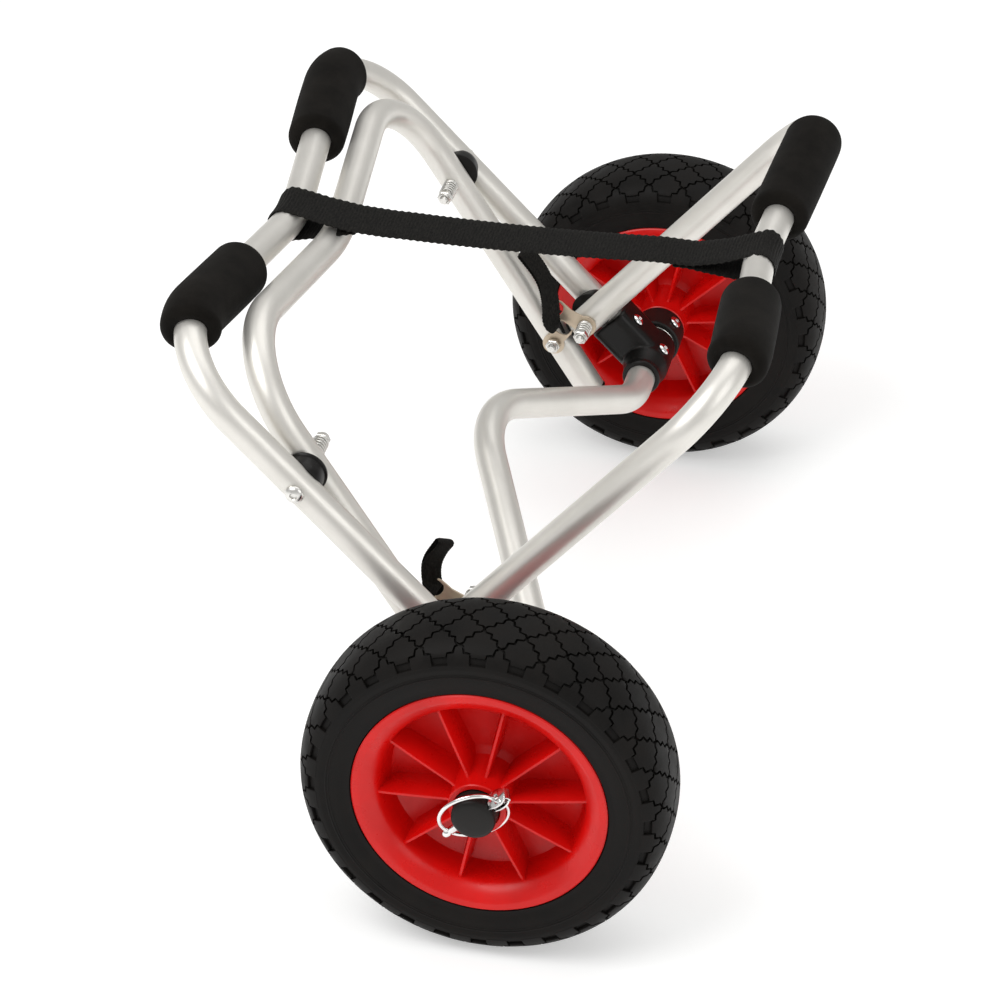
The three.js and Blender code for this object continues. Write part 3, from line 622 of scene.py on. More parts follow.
def cut_out(outlines, thickness, origin, first, second, bevel):
    """Vertices and faces of a flat plate with softened edges; later outlines are holes."""
    curve = bpy.data.curves.new("outline", "CURVE")
    curve.dimensions = "2D"
    curve.fill_mode = "BOTH"
    curve.extrude = thickness / 2 - bevel
    curve.bevel_depth = bevel
    curve.bevel_resolution = 2
    curve.offset = -bevel
    for outline in outlines:
        spline = curve.splines.new("POLY")
        spline.points.add(len(outline) - 1)
        for point, (u, v) in zip(spline.points, outline):
            point.co = (u, v, 0, 1)
        spline.use_cyclic_u = True
    carrier = bpy.data.objects.new("outline", curve)
    bpy.context.scene.collection.objects.link(carrier)
    graph = bpy.context.evaluated_depsgraph_get()
    flat = bpy.data.meshes.new_from_object(carrier.evaluated_get(graph))
    bpy.data.objects.remove(carrier)
    work = bmesh.new()
    work.from_mesh(flat)
    bmesh.ops.remove_doubles(work, verts=work.verts, dist=0.002)
    third = np.cross(first, second)
    work.verts.ensure_lookup_table()
    vertices = [
        np.asarray(origin) + v.co.x * np.asarray(first) + v.co.y * np.asarray(second) + v.co.z * third
        for v in work.verts
    ]
    faces = [tuple(v.index for v in face.verts) for face in work.faces]
    work.free()
    return vertices, faces


# ---------- tyres ----------

TREAD_RADIUS = 125.0
TREAD_DEPTH = 2.2
TREAD_PITCH = 28.0  # one star of the tread pattern, along the tread and across it
TREAD_PITCHES = round(2 * math.pi * TREAD_RADIUS / TREAD_PITCH)
TREAD_EDGE = 45.0  # just past the outermost blocks, from the crown round
STAR_EDGE = 36.6  # where the outer stars are cut off, between the shoulder blocks
GROOVE_HALF = 0.75
BLOCK_BEVEL = 0.36
BURIED = 3.2  # how deep the blocks' roots reach into the carcass
TYRE_HALF = [
    (125, 0), (124.7, 10), (123.3, 20), (119.6, 29.5),
    (112.5, 35.4), (104, 37.0), (96, 36.6), (89, 34.8),
]
BEAD = [(86.4, 33.9), (85.75, 32.6), (85.4, 31.0), (78.4, 29.6), (74.6, 20.0), (72.6, 15.0)]
# The carcass against its section, by distance from the crown: the grooves' floor, the plain
# shoulder level with the blocks, and the wall.
SHOULDER_PLACES = [41.4, 42.3, 45.6, 47.5, 49.5]
SHOULDER_HEIGHTS = [-TREAD_DEPTH, -0.15, -0.15, -0.55, -1.0]
RIDGE_RADIUS = 101.0  # between the two raised lines on each wall


class Profile:
    """The tyre's section above its grooves: distance round from the crown, height above it."""

    def __init__(self):
        self.points = smooth_line(mirrored(TYRE_HALF[1:]) + TYRE_HALF)
        self.along = distances(self.points)
        self.along -= self.along[-1] / 2
        ways = units(np.gradient(self.points, self.along, axis=0))
        self.outward = np.stack((ways[:, 1], -ways[:, 0]), 1)

    def at(self, v, height):
        """Radius and distance across, at distances v from the crown and heights above it."""
        base = rows_at(v, self.along, self.points)
        return base + np.asarray(height)[..., None] * rows_at(v, self.along, self.outward)


SECTION = Profile()


def wheel_points(radius, y, angle, centre_y):
    """Points round a wheel, from their radius, distance across and angle."""
    return np.stack((radius * np.cos(angle), centre_y + y, radius * np.sin(angle)), -1)


def carcass(parts, centre_y, segments=180):
    """The tyre below its tread blocks, with two raised lines on each wall and one on the crown."""
    reach = SECTION.along[-1]
    extra = [0.3, 0.7, *SHOULDER_PLACES[:4]]
    v = np.unique(np.concatenate((np.linspace(-reach, reach, 90), extra, np.negative(extra))))
    radii = SECTION.at(v, np.zeros_like(v))[:, 0]
    half = len(v) // 2
    near_ridges = RIDGE_RADIUS + np.linspace(-1.6, 1.6, 9)
    walls = np.interp(near_ridges, radii[::-1][:half], v[::-1][:half])
    v = np.unique(np.concatenate((v, walls, -walls)))
    radii = SECTION.at(v, np.zeros_like(v))[:, 0]
    height = np.interp(np.abs(v), SHOULDER_PLACES, SHOULDER_HEIGHTS)
    for ridge in (RIDGE_RADIUS - 0.9, RIDGE_RADIUS + 0.9):
        height += 0.45 * np.exp(-(((radii - ridge) / 0.45) ** 2)) * (np.abs(v) > TREAD_EDGE)
    height += 0.5 * np.exp(-((v / 0.4) ** 2))
    outline = [*SECTION.at(v, height), *BEAD, *mirrored(BEAD)]
    angles = circle(segments)
    rings = [wheel_points(radius, np.full(segments, y), angles, centre_y) for radius, y in outline]
    parts.grid(rings, closed_rows=True)


def fourfold(points):
    """A pattern repeated at every quarter turn."""
    out = []
    for _ in range(4):
        out += points
        points = [(-v, u) for u, v in points]
    return np.array(out, float)


def inset(polygon, amount):
    """Moves every side of a counterclockwise polygon inwards."""
    before = polygon - np.roll(polygon, 1, 0)
    after = np.roll(polygon, -1, 0) - polygon
    first, second = [np.stack((-way[:, 1], way[:, 0]), 1) for way in (units(before), units(after))]
    return polygon + (first + second) * (amount / (1 + (first * second).sum(1)))[:, None]


def clip(polygon, limit, sign):
    """The part of a polygon whose second coordinate, times sign, is below a limit."""
    out = []
    for p, q in zip(polygon, np.roll(polygon, -1, 0)):
        p_in, q_in = p[1] * sign <= limit, q[1] * sign <= limit
        if p_in:
            out.append(p)
        if p_in != q_in:
            share = (limit * sign - p[1]) / (q[1] - p[1])
            out.append(p + (q - p) * share)
    return np.array(out)


def tread_blocks():
    """Polygons of one pitch of the tread, flat: stars, crosses and larger blocks on the shoulder."""
    a = TREAD_PITCH / 2
    star = fourfold([(a, 0), (10.8, 1.6), (10.5, 5.9), (6.0, 6.0), (5.9, 10.5), (1.6, 10.8)])
    cross = fourfold([(a, 0), (12.4, 3.2), (8.1, 3.5), (8.0, 8.0), (3.5, 8.1), (3.2, 12.4)])
    inner = [(-8.5, -8.1), (-3.5, -8.1), (-3.2, -12.4), (0, -14), (3.2, -12.4), (3.5, -8.1), (8.5, -8.1)]
    shoulder = np.array([*inner, (8.9, 2.2), (-8.9, 2.2)])
    star, cross, shoulder = [inset(shape, GROOVE_HALF) for shape in (star, cross, shoulder)]
    blocks = [star, cross + (a, a), cross + (a, -a)]
    for sign in (-1, 1):
        blocks.append(clip(star + (0, sign * 2 * a), STAR_EDGE, sign))
        placed = shoulder * (1, sign) + (a, sign * 3 * a)
        blocks.append(placed if sign > 0 else placed[::-1])
    return blocks


def tread_pitch():
    """One pitch of the tread as flat vertices (along, across, height) and faces."""
    work = bmesh.new()
    for polygon in tread_blocks():
        top = [work.verts.new((u, v, 0)) for u, v in polygon]
        root = [work.verts.new((u, v, -BURIED)) for u, v in polygon]
        work.faces.new(top)
        work.faces.new(root[::-1])
        for i in range(len(polygon)):
            j = (i + 1) % len(polygon)
            work.faces.new((root[i], root[j], top[j], top[i]))
    edges = [edge for edge in work.edges if all(v.co.z == 0 for v in edge.verts)]
    bmesh.ops.bevel(work, geom=edges, offset=BLOCK_BEVEL, segments=2, affect="EDGES", profile=0.5)
    # Cuts both ways, so that the blocks can follow the tyre's curve.
    cuts = (((1, 0, 0), -TREAD_PITCH / 2, TREAD_PITCH, 4.7), ((0, 1, 0), -TREAD_EDGE, TREAD_EDGE, 4.6))
    for normal, low, high, step in cuts:
        for place in np.arange(low + step / 2, high, step):
            bmesh.ops.bisect_plane(
                work,
                geom=work.verts[:] + work.edges[:] + work.faces[:],
                plane_co=[place * n for n in normal],
                plane_no=normal,
                dist=1e-4,
            )
    work.verts.ensure_lookup_table()
    vertices = np.array([v.co[:] for v in work.verts])
    faces = [tuple(v.index for v in face.verts) for face in work.faces]
    work.free()
    return vertices, faces


TREAD = tread_pitch()


def tyre(side, sign):
    """The carcass with the tread's pitches round it."""
    parts = Parts()
    centre_y = sign * WHEEL_Y
    carcass(parts, centre_y)
    flat, faces = TREAD
    section = SECTION.at(flat[:, 1], flat[:, 2])
    for i in range(TREAD_PITCHES):
        angle = (flat[:, 0] / TREAD_PITCH + i) * 2 * math.pi / TREAD_PITCHES
        parts.add(wheel_points(section[:, 0], section[:, 1], angle, centre_y), faces)
    attach(parts.build(f"tyre_{side}", RUBBER, 28), f"wheel_{side}", "tyre", f"tyre_{side}")


# ---------- rims ----------

RIB_COUNT = 10
RIB_TURN = 5.8  # of the first rib above the axle, degrees
WEB_HALF = 6.2  # half the thickness of the disc between hub and bowl
# Radius and distance across: the hub, the disc, the bowl, the lip and the seat under the tyre.
RIM_HALF = [
    (15.2, 38.2), (15.9, 39.0), (18.6, 39.0), (19.3, 38.3), (19.8, 30), (20.6, 14), (22.6, 8.4),
    (26.5, WEB_HALF + 0.4), (29, WEB_HALF), (61.5, WEB_HALF),
    (64.6, 7.6), (66.6, 11.5), (68.0, 18.5), (69.4, 24.4), (71.0, 27.4), (74.4, 30.6), (78.2, 33.2),
    (79.8, 34.1), (80.8, 34.4), (84.6, 34.4), (85.4, 33.7), (85.6, 32.4), (84.9, 31.2),
    (80.2, 29.9), (75.6, 21), (73.4, 15),
]
# A rib's top at each radius, and its section: distance to the side, height above the disc at
# its root or above its top.
RIB_TOPS = [
    (17.5, 33.2), (20, 30.0), (23, 29.2), (32, 28.6), (45, 27.6),
    (58, 26.4), (66, 25.6), (70.0, 25.2), (72.0, 24.0),
]
RIB_ROOT = [(3.4, 2.0 - WEB_HALF), (3.4, -0.4), (2.2, 1.6), (1.75, 4.5)]
RIB_TOP = [(1.2, -0.9), (0.75, 0)]


def rib(parts, angle, face, centre_y):
    """One rib from the hub out to the bowl, with a rounded top and a flared root."""
    rings = []
    for radius, top in RIB_TOPS:
        right = [(radius, t, WEB_HALF + lift) for t, lift in RIB_ROOT]
        right += [(radius, t, top + lift) for t, lift in RIB_TOP]
        left = [(radius, -t, depth) for _, t, depth in right]
        rings.append(left + right[::-1])
    flat = np.array(rings)
    radius, t, y = flat[..., 0], flat[..., 1], flat[..., 2]
    placed = np.stack(
        (
            radius * math.cos(angle) - t * math.sin(angle),
            centre_y + face * y,
            radius * math.sin(angle) + t * math.cos(angle),
        ),
        -1,
    )
    parts.grid(placed)


def rim(side, sign):
    """A bowl, a hub and a disc in one turned solid, with ribs on both faces."""
    parts = Parts()
    centre_y = sign * WHEEL_Y
    turned(parts, RIM_HALF + mirrored(RIM_HALF), (0, centre_y, 0), Y_AXIS, 144, hollow=True)
    for face in (-1, 1):
        for i in range(RIB_COUNT):
            rib(parts, math.radians(RIB_TURN) + 2 * math.pi * i / RIB_COUNT, face, centre_y)
    attach(parts.build(f"rim_{side}", RED, 38), f"wheel_{side}", "rim", f"wheel_rim_{side}")


# ---------- stub axles, washers and linch pins ----------

PIN_ANGLE = 43.0  # of the linch pins in the side view, degrees
PIN_WAY = np.array((math.cos(math.radians(PIN_ANGLE)), 0, math.sin(math.radians(PIN_ANGLE))))
RING_TILT = 29.0  # of the ring about the pin, degrees
RING_RADIUS = 22.8
RING_PIVOT = 22.5  # from the axle line along the pin
# Radius, and distance from the middle plane.
AXLE_OUTLINE = [
    (0.01, 229), (9.4, 229), (10, 229.6), (10, 258.9), (18.4, 258.9), (19.5, 260), (19.5, 282.2),
    (18.6, 283.4), (15.6, 283.6), (14.8, 284.4), (14.8, 371.2), (14.5, 373.2), (13.6, 374.5),
    (11.5, 375.2), (6, 375.7), (0.01, 375.9),
]
WASHER_OUTLINE = [
    (10.4, 256.8), (16.2, 256.8), (16.5, 257.1), (16.5, 258.2), (16.2, 258.5), (10.4, 258.5),
]
# Radius, and distance from the axle line along the pin.
SHANK_OUTLINE = [
    (0.01, -28.2), (1.6, -27.9), (2.6, -27.0), (3, -25.6), (3, -23.4), (2.45, -22.6),
    (2.45, -21.4), (3, -20.6), (3, 15), (3.6, 15.6), (3.6, 16.4), (0.01, 16.4),
]


def stub_axle(side, sign):
    """A collared axle, cross-drilled for its pin, and the washer behind the collar."""
    parts = Parts()
    turned(parts, AXLE_OUTLINE, (0, 0, 0), sign * Y_AXIS, 64)
    thing = parts.build(f"stub_axle_{side}", AXLE_BLACK, 32)
    centre = np.array((0, sign * PIN_Y, 0))
    drill(thing, centre - 30 * PIN_WAY, centre + 30 * PIN_WAY, 3.4, 24)
    attach(thing, "frame", "axle", f"stub_axle_{side}")
    washer = Parts()
    turned(washer, WASHER_OUTLINE, (0, 0, 0), sign * Y_AXIS, 56, hollow=True)
    thing = washer.build(f"axle_washer_ring_{side}", ZINC)
    attach(thing, "frame", "zinc", f"axle_washer_{side}")


def linch_pin(side, sign):
    """A pin with a folded steel head, and the wire ring that swings on it."""
    centre = np.array((0, sign * PIN_Y, 0))
    across = np.cross(PIN_WAY, Y_AXIS)
    tilt = -sign * math.radians(RING_TILT)
    across = across * math.cos(tilt) + np.cross(PIN_WAY, across) * math.sin(tilt)
    flat = np.cross(PIN_WAY, across)
    parts = Parts()
    turned(parts, SHANK_OUTLINE, centre, PIN_WAY, 28)
    head = [(-4.9, 15.2), (4.9, 15.2), (6.2, 20.5), *arc((0, 23.6), 6.2, 0, 180, 16), (-6.2, 20.5)]
    hole = [(1.9 * math.cos(a), RING_PIVOT + 1.9 * math.sin(a)) for a in circle(16)]
    for shift in (-2.2, 2.2):
        origin = centre + shift * across
        parts.add(*cut_out([head, hole], 1.5, origin, flat, PIN_WAY, 0.2))
    half = 2.6
    fold = []
    for t in np.linspace(-half, half, 9):
        top = 29.0 + 1.1 * math.sqrt(max(0, 1 - (t / half) ** 2))
        point = centre + t * across + top * PIN_WAY
        corners = ((-3.8, -0.5), (3.8, -0.5), (3.8, 0.5), (-3.8, 0.5))
        fold.append([point + w * flat + h * PIN_WAY for w, h in corners])
    parts.grid(fold)
    attach(parts.build(f"linch_pin_{side}", CHROME), f"pin_{side}", "pin", f"linch_pin_{side}")

    hoop = Parts()
    middle_point = centre + (RING_PIVOT - RING_RADIUS) * PIN_WAY
    turns = np.radians(np.linspace(8, 352, 100))
    bend = np.ones(len(turns))
    for end in (352, 8):
        bend -= 0.045 * np.exp(-(((np.degrees(turns) - end) / 14) ** 2))
    loop = [
        middle_point + RING_RADIUS * b * (math.cos(a) * PIN_WAY + math.sin(a) * across)
        for a, b in zip(turns, bend)
    ]
    ends = [centre + RING_PIVOT * PIN_WAY + s * 1.2 * across for s in (1, -1)]
    sweep(hoop, [ends[0], *loop, ends[1]], 1.45, 16)
    attach(hoop.build(f"ring_wire_{side}", CHROME, 50), f"ring_{side}", "pin", f"linch_ring_{side}")


# ---------- wheel brackets and rivets ----------

SLEEVE_TOP = 45.0
SLEEVE_HALF = 17.0
BARREL = (204.0, 256.4)  # its inner and outer ends
# Each rivet's place up the frame, its distance from the middle plane, and its seat's height.
RIVETS = {"leg": (30.0, 235.0, SLEEVE_HALF), "barrel": (0.0, 231.0, 17.5), "collar": (0.0, 272.0, 19.5)}
RIVET_OUTLINE = [
    (0.01, -4.6), (2.1, -4.6), (2.2, -0.2), (4.4, -0.15), (4.85, 0.15), (4.9, 0.55), (4.5, 1.05),
    (3.4, 1.75), (2.3, 2.15), (1.75, 2.2), (1.5, 2.0), (1.4, 1.2), (0.01, 1.1),
]


def wheel_bracket(side, sign):
    """A moulded tee: a soft-edged sleeve on the leg and a barrel on the axle line."""
    parts = Parts()
    inner, outer = BARREL
    barrel = [(0.01, inner), (14.0, inner), (14.7, inner + 0.8), (14.8, inner + 3), (14.3, inner + 4.5)]
    barrel += [(15.4, inner + 10), (17.6, inner + 18.5), (17.6, outer - 1.6), (16.4, outer), (0.01, outer)]
    turned(parts, barrel, (0, 0, 0), sign * Y_AXIS, 96)
    rings = []
    turns = circle(96)
    squareness = 2 / 4.2
    sleeve = [(-6, -3.5), (-4, -1), (0, 0), (12, 0), (24, 0), (38, 0)]
    for up, grow in (*sleeve, (SLEEVE_TOP - 1.4, 0.2), (SLEEVE_TOP, -1.0)):
        half = SLEEVE_HALF + grow
        across = half * np.sign(np.cos(turns)) * np.abs(np.cos(turns)) ** squareness
        rise = half * np.sign(np.sin(turns)) * np.abs(np.sin(turns)) ** squareness
        rings.append([on_frame(up, sign * OUTER_LEG_Y + a, h) for a, h in zip(across, rise)])
    parts.grid(rings)
    thing = parts.build(f"bracket_{side}", BLACK)
    bake(thing, "REMESH", mode="VOXEL", voxel_size=0.9 * MM)
    bake(thing, "SMOOTH", factor=0.5, iterations=7)
    bores = (
        (on_frame(12.5, sign * OUTER_LEG_Y), on_frame(60, sign * OUTER_LEG_Y), TUBE_RADIUS + SLIP),
        (sign * (inner - 5) * Y_AXIS, sign * 227.5 * Y_AXIS, TUBE_RADIUS + SLIP),
        (sign * 227.0 * Y_AXIS, sign * 262 * Y_AXIS, 10.2),
    )
    for start, end, radius in bores:
        drill(thing, start, end, radius, crease=50)
    attach(thing, "frame", "bracket", f"wheel_bracket_{side}")


def pop_rivet(name, side, sign):
    """A domed rivet head with the broken mandrel showing in its middle."""
    up, y, seat = RIVETS[name]
    parts = Parts()
    turned(parts, RIVET_OUTLINE, on_frame(up, sign * y, seat + 0.25), FRONT_NORMAL, 32)
    thing = parts.build(f"{name}_rivet_head_{side}", CHROME, 40)
    attach(thing, "frame", "rivet", f"{name}_rivet_{side}")


for side, sign in SIDES.items():
    tyre(side, sign)
    rim(side, sign)
    stub_axle(side, sign)
    linch_pin(side, sign)
    wheel_bracket(side, sign)
    for name in RIVETS:
        pop_rivet(name, side, sign)

# ---------- pivots ----------

BOLT_RADIUS = 2.9
THREAD_STEP = 0.5  # half a turn of a bolt's thread
STACK_GAP = 0.3  # between neighbours on a bolt
BOLT_HEAD = [
    (6.3, 0), (6.5, 0.3), (6.4, 0.9), (5.6, 2.1), (4.2, 2.95),
    (2.5, 3.35), (2.2, 3.0), (2.1, 1.5), (1.6, 1.3), (0.01, 1.3),
]


def bolt(name, sign, place, head_y, end_y, body, node):
    """A button-headed bolt with a hexagon socket and a threaded end."""
    parts = Parts()
    turned(parts, BOLT_HEAD, place + sign * head_y * Y_AXIS, sign * Y_AXIS, 36)
    thread_y = end_y + 14
    rod = [(BOLT_RADIUS, head_y + 0.5), (BOLT_RADIUS, thread_y)]
    for k in range(1, int((thread_y - end_y) / THREAD_STEP)):
        rod.append((BOLT_RADIUS - (0.32 if k % 2 else 0), thread_y - THREAD_STEP * k))
    rod.append((BOLT_RADIUS - 0.6, end_y))
    turned(parts, rod, place, sign * Y_AXIS, 24)
    attach(parts.build(name, ZINC), body, "zinc", node)


def lock_nut(name, sign, place, outer_y, body, node):
    """A hexagon nut with a round collar, open round the bolt."""
    parts = Parts()
    bore = BOLT_RADIUS + 0.1
    corner = 5.8
    flats = [(bore, 0), (corner - 0.7, 0), (corner, 0.6), (corner, 3.7), (corner - 0.7, 4.3), (bore, 4.3)]
    collar = [(bore, 3.6), (4.6, 3.6), (4.6, 5.0), (4.2, 5.7), (3.4, 5.9), (bore, 5.7)]
    for outline, segments in ((flats, 6), (collar, 28)):
        turned(parts, outline, place + sign * outer_y * Y_AXIS, -sign * Y_AXIS, segments, hollow=True)
    attach(parts.build(name, ZINC, 30), body, "zinc", node)


def coil_spring(name, sign, place, outer_y, length, node):
    """A compression spring with closed ends round the bolt."""
    wire, radius = 0.8, 5.1
    turns = length / 2.7
    share = np.linspace(0, 1, 170)
    lift = wire + (length - 2 * wire) * np.clip((share * turns - 0.6) / (turns - 1.2), 0, 1)
    angle = 2 * math.pi * turns * share
    x, z = place[0] + radius * np.cos(angle), place[2] + radius * np.sin(angle)
    parts = Parts()
    sweep(parts, np.stack((x, sign * (outer_y - lift), z), -1), wire, 10)
    attach(parts.build(name, ZINC, 50), "frame", "spring", node)


def saddle(name, sign, place, node):
    """A rubbery spacer, cupped round the outer leg, with a thin flange against the inner one."""
    parts = Parts()
    flat_y = INNER_LEG_Y + TUBE_RADIUS + STACK_GAP
    outline = [
        (0.01, 0), (14.6, 0), (15.2, 0.5), (15.2, 1.8), (14.6, 2.4),
        (13.9, 2.8), (13.7, 9), (13.0, 12.5), (11.6, 15.2), (0.01, 15.6),
    ]
    turned(parts, [(radius, flat_y + along) for radius, along in outline], place, sign * Y_AXIS, 64)
    thing = parts.build(name, BLACK, 38)
    leg = place + sign * OUTER_LEG_Y * Y_AXIS
    drill(thing, leg - 40 * FRONT_DOWN, leg + 40 * FRONT_DOWN, TUBE_RADIUS + 0.1)
    drill(thing, place + sign * 200 * Y_AXIS, place + sign * 250 * Y_AXIS, BOLT_RADIUS + 0.3, 24)
    attach(thing, "frame", "saddle", node)


# Each pivot's place, the outer end of its spring and the spring's length.
PIVOTS = {"stand_pivot": (STAND_PIVOT, 198.7, 16.5), "rear_pivot": (REAR_PIVOT, 196.6, 13.0)}
PIVOT_HEAD_Y = OUTER_LEG_Y + TUBE_RADIUS + STACK_GAP
PIVOT_END = 8.2  # from a nut's outer face to the bolt's end
LIMITER_HEAD_Y = 221.3
LIMITER_NUT_Y = 196.6
LIMITER_END_Y = 188.4

for side, sign in SIDES.items():
    for name, (place, spring_y, length) in PIVOTS.items():
        nut_y = spring_y - length - STACK_GAP
        end_y = nut_y - PIVOT_END
        saddle(f"{name}_spacer_{side}", sign, place, f"{name}_saddle_{side}")
        bolt(f"{name}_screw_{side}", sign, place, PIVOT_HEAD_Y, end_y, "frame", f"{name}_bolt_{side}")
        coil_spring(f"{name}_coil_{side}", sign, place, spring_y, length, f"{name}_spring_{side}")
        lock_nut(f"{name}_locknut_{side}", sign, place, nut_y, "frame", f"{name}_nut_{side}")
    screw = f"limiter_screw_{side}"
    bolt(screw, sign, LOW_BOLT, LIMITER_HEAD_Y, LIMITER_END_Y, "stand", f"limiter_bolt_{side}")
    lock_nut(f"limiter_locknut_{side}", sign, LOW_BOLT, LIMITER_NUT_Y, "stand", f"limiter_nut_{side}")

# ---------- limiter plates and webbing ----------

REAR_PLATE_TIP = np.array((-64.0, 0, 55.5))
STAND_PLATE_TIP = np.array((-61.5, 0, 38.5))
PLATE_Y = 198.0
LOOP_WIDTH = 13.5
LOOP_GAP = 4.6  # between the two layers at the top of a loop
LOOP_STEP = 0.6
LOOP_TWIST = {"right": 42.0, "left": 58.0}  # at the top of each loop, degrees


def limiter_plate(name, sign, pivot, tip, body, node):
    """A flat link: an eye round the bolt, and two hooked prongs that hold the webbing."""
    arm = tip - pivot
    length = np.linalg.norm(arm)
    way = arm / length
    half = [*arc((0, 0), 8.5, 180, 50, 18), (length - 8.0, 6.0), (length - 4.0, 7.0), (length + 1.4, 8.1)]
    half += [(length + 4.0, 7.7), (length + 4.4, 6.9), (length + 1.4, 6.5), (length - 1.6, 5.4)]
    half += [(length - 3.0, 3.0), (length - 3.4, 0.0)]
    outline = half + [(u, -v) for u, v in reversed(half[1:-1])]
    hole = arc((0, 0), 3.3, 0, 345, 23)
    up = np.cross(way, Y_AXIS)
    parts = Parts()
    parts.add(*cut_out([outline, hole], 1.4, pivot + sign * PLATE_Y * Y_AXIS, way, up, 0.22))
    attach(parts.build(name, NICKEL, 30), body, "plate", node)


def ribbon(centres, widths, faces, width, thickness, edge_wave, pitch, ridge_height, across):
    """Rings of a flat band along a line: width directions, face directions, ribs and a wavy edge."""
    rings = []
    for centre, side_way, face_way, length in zip(centres, widths, faces, distances(centres)):
        half = width / 2 + edge_wave * math.sin(2 * math.pi * length / pitch)
        ridge = ridge_height * math.cos(2 * math.pi * length / (pitch / 2))
        ring = []
        for face, share in ((1, 1.0), (-1, 0.6)):
            for c in np.linspace(-face, face, across):
                skin = face * (thickness / 2) * (1 - abs(c) ** 8 * 0.75)
                height = skin + ridge * share * (1 - abs(c) ** 10)
                ring.append(centre + half * c * side_way + height * face_way)
        rings.append(ring)
    return rings


def squared(directions, ways):
    """Directions turned as little as needed to stand square to others, one long."""
    return units(directions - ways * (directions * ways).sum(1)[:, None])


def limiter_loop(name, side, sign, spine, stand_foot, rear_foot):
    """A slack fold of webbing: up from the stand's plate, over, and down to the rear bow's."""

    def placed(points):
        return np.array([(x, sign * y, z) for x, z, y in points], float)

    line = resample(placed(spine), LOOP_STEP)
    ways = tangents(line)
    turn = np.radians(LOOP_TWIST[side]) * np.clip((line[:, 2] - 50) / 35, 0, 1)[:, None]
    widths = squared(np.cos(turn) * np.cross(Y_AXIS, ways) + np.sin(turn) * Y_AXIS, ways)
    outward = sign * np.cross(ways, widths)
    gap = np.linspace(0.9, LOOP_GAP / 2, len(line))[:, None]
    over = [
        line[-1] + gap[-1] * (math.cos(a) * -outward[-1] + math.sin(a) * ways[-1])
        for a in np.linspace(0, math.pi, 13)[1:-1]
    ]
    up, down = line - gap * outward, line + gap * outward
    from_stand = resample(np.concatenate((placed(stand_foot), up[:1])), LOOP_STEP)[:-1]
    to_rear = resample(np.concatenate((down[:1], placed(rear_foot))), LOOP_STEP)[1:]
    path = np.concatenate((from_stand, up, over, down[::-1], to_rear))
    start, top, end = [
        np.tile(widths[k], (len(points), 1)) for k, points in ((0, from_stand), (-1, over), (0, to_rear))
    ]
    ways = tangents(path)
    wide = squared(np.concatenate((start, widths, top, widths[::-1], end)), ways)
    parts = Parts()
    parts.grid(ribbon(path, wide, np.cross(ways, wide), LOOP_WIDTH, 1.4, 0.2, 2.4, 0.1, 10))
    return parts.build(name, LOOP, 60)


# ---------- end plugs ----------


def end_plug(name, body, end, down, node):
    """A ribbed plug with a low rounded cap on the open end of a leg."""
    ribs = [(8.8 + (0.45 if k % 2 else 0), -8 + k) for k in range(8)]
    cap = [(9.3, 0.15), (11.1, 0.2), (11.4, 0.7), (11.4, 1.7), (10.6, 2.5), (8.5, 2.9), (0.01, 3.1)]
    parts = Parts()
    turned(parts, [(0.01, -8), *ribs, *cap], end, down, 48)
    attach(parts.build(name, BLACK), body, "plug", node)


for side, sign in SIDES.items():
    at_leg = sign * INNER_LEG_Y * Y_AXIS
    stand_end = STAND_PIVOT + STAND_LEG_END * STAND_DOWN + at_leg
    rear_end = REAR_PIVOT + REAR_LEG_END * REAR_DOWN + at_leg
    end_plug(f"stand_plug_{side}", "stand", stand_end, STAND_DOWN, f"stand_end_plug_{side}")
    end_plug(f"rear_plug_{side}", "rear_bow", rear_end, REAR_DOWN, f"rear_end_plug_{side}")
    node = f"rear_limiter_plate_{side}"
    limiter_plate(f"rear_link_{side}", sign, REAR_PIVOT, REAR_PLATE_TIP, "frame", node)
    node = f"stand_limiter_plate_{side}"
    limiter_plate(f"stand_link_{side}", sign, LOW_BOLT, STAND_PLATE_TIP, "stand", node)

# Each loop's middle line upwards, then its foot from the stand's plate and its foot to the rear
# one: x, z and distance from the middle plane.
LIMITER_ROUTES = {
    "right": (
        [(-69.4, 57, 192.8), (-70.4, 66, 192.6), (-69.2, 75, 192.4), (-65.4, 83, 192.2), (-61, 89.6, 192)],
        [(-58, 44, 192.0), (-62, 45.8, 191.6), (-67, 51, 191.6)],
        [(-68, 54.5, 195.0), (-64.5, 53, 195.8)],
    ),
    "left": (
        [
            (-68, 59, 189.6), (-69.2, 73.3, 189.4), (-72.7, 84.5, 189.2),
            (-77.9, 94.4, 189), (-84, 102.3, 189), (-88, 107.4, 189),
        ],
        [(-59.5, 45.5, 192.0), (-63, 44.6, 190.0), (-66.6, 47.2, 189.0), (-68, 53, 188.8)],
        [(-67.2, 56, 191.2), (-64.5, 54, 193.4)],
    ),
}
for side, sign in SIDES.items():
    piece = limiter_loop(f"limiter_loop_{side}", side, sign, *LIMITER_ROUTES[side])
    start = in_frame((-62, sign * 190, 88))
    end = in_frame((-60, sign * 190, 46))
    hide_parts(f"limiter_webbing_{side}")
    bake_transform(piece)

# ---------- main strap ----------

STRAP_THICKNESS = 1.6
STRAP_LAP = 47.0  # how far the sewn tail runs on past the V
STRAP_TWIST = 3.0  # the strap's tilt about its own line where the front tail ends, degrees
STRAP_SAG = 1.6
STRAP_ROUND = TUBE_RADIUS + 1.1  # its middle's radius round each V
DISH_RADIUS = 120.0  # across the strap, where it follows the bend of each V
DISH_REACH = 34.0
front_eye = front_path.at(0)[0]
rear_eye = rear_path.at(0)[0]


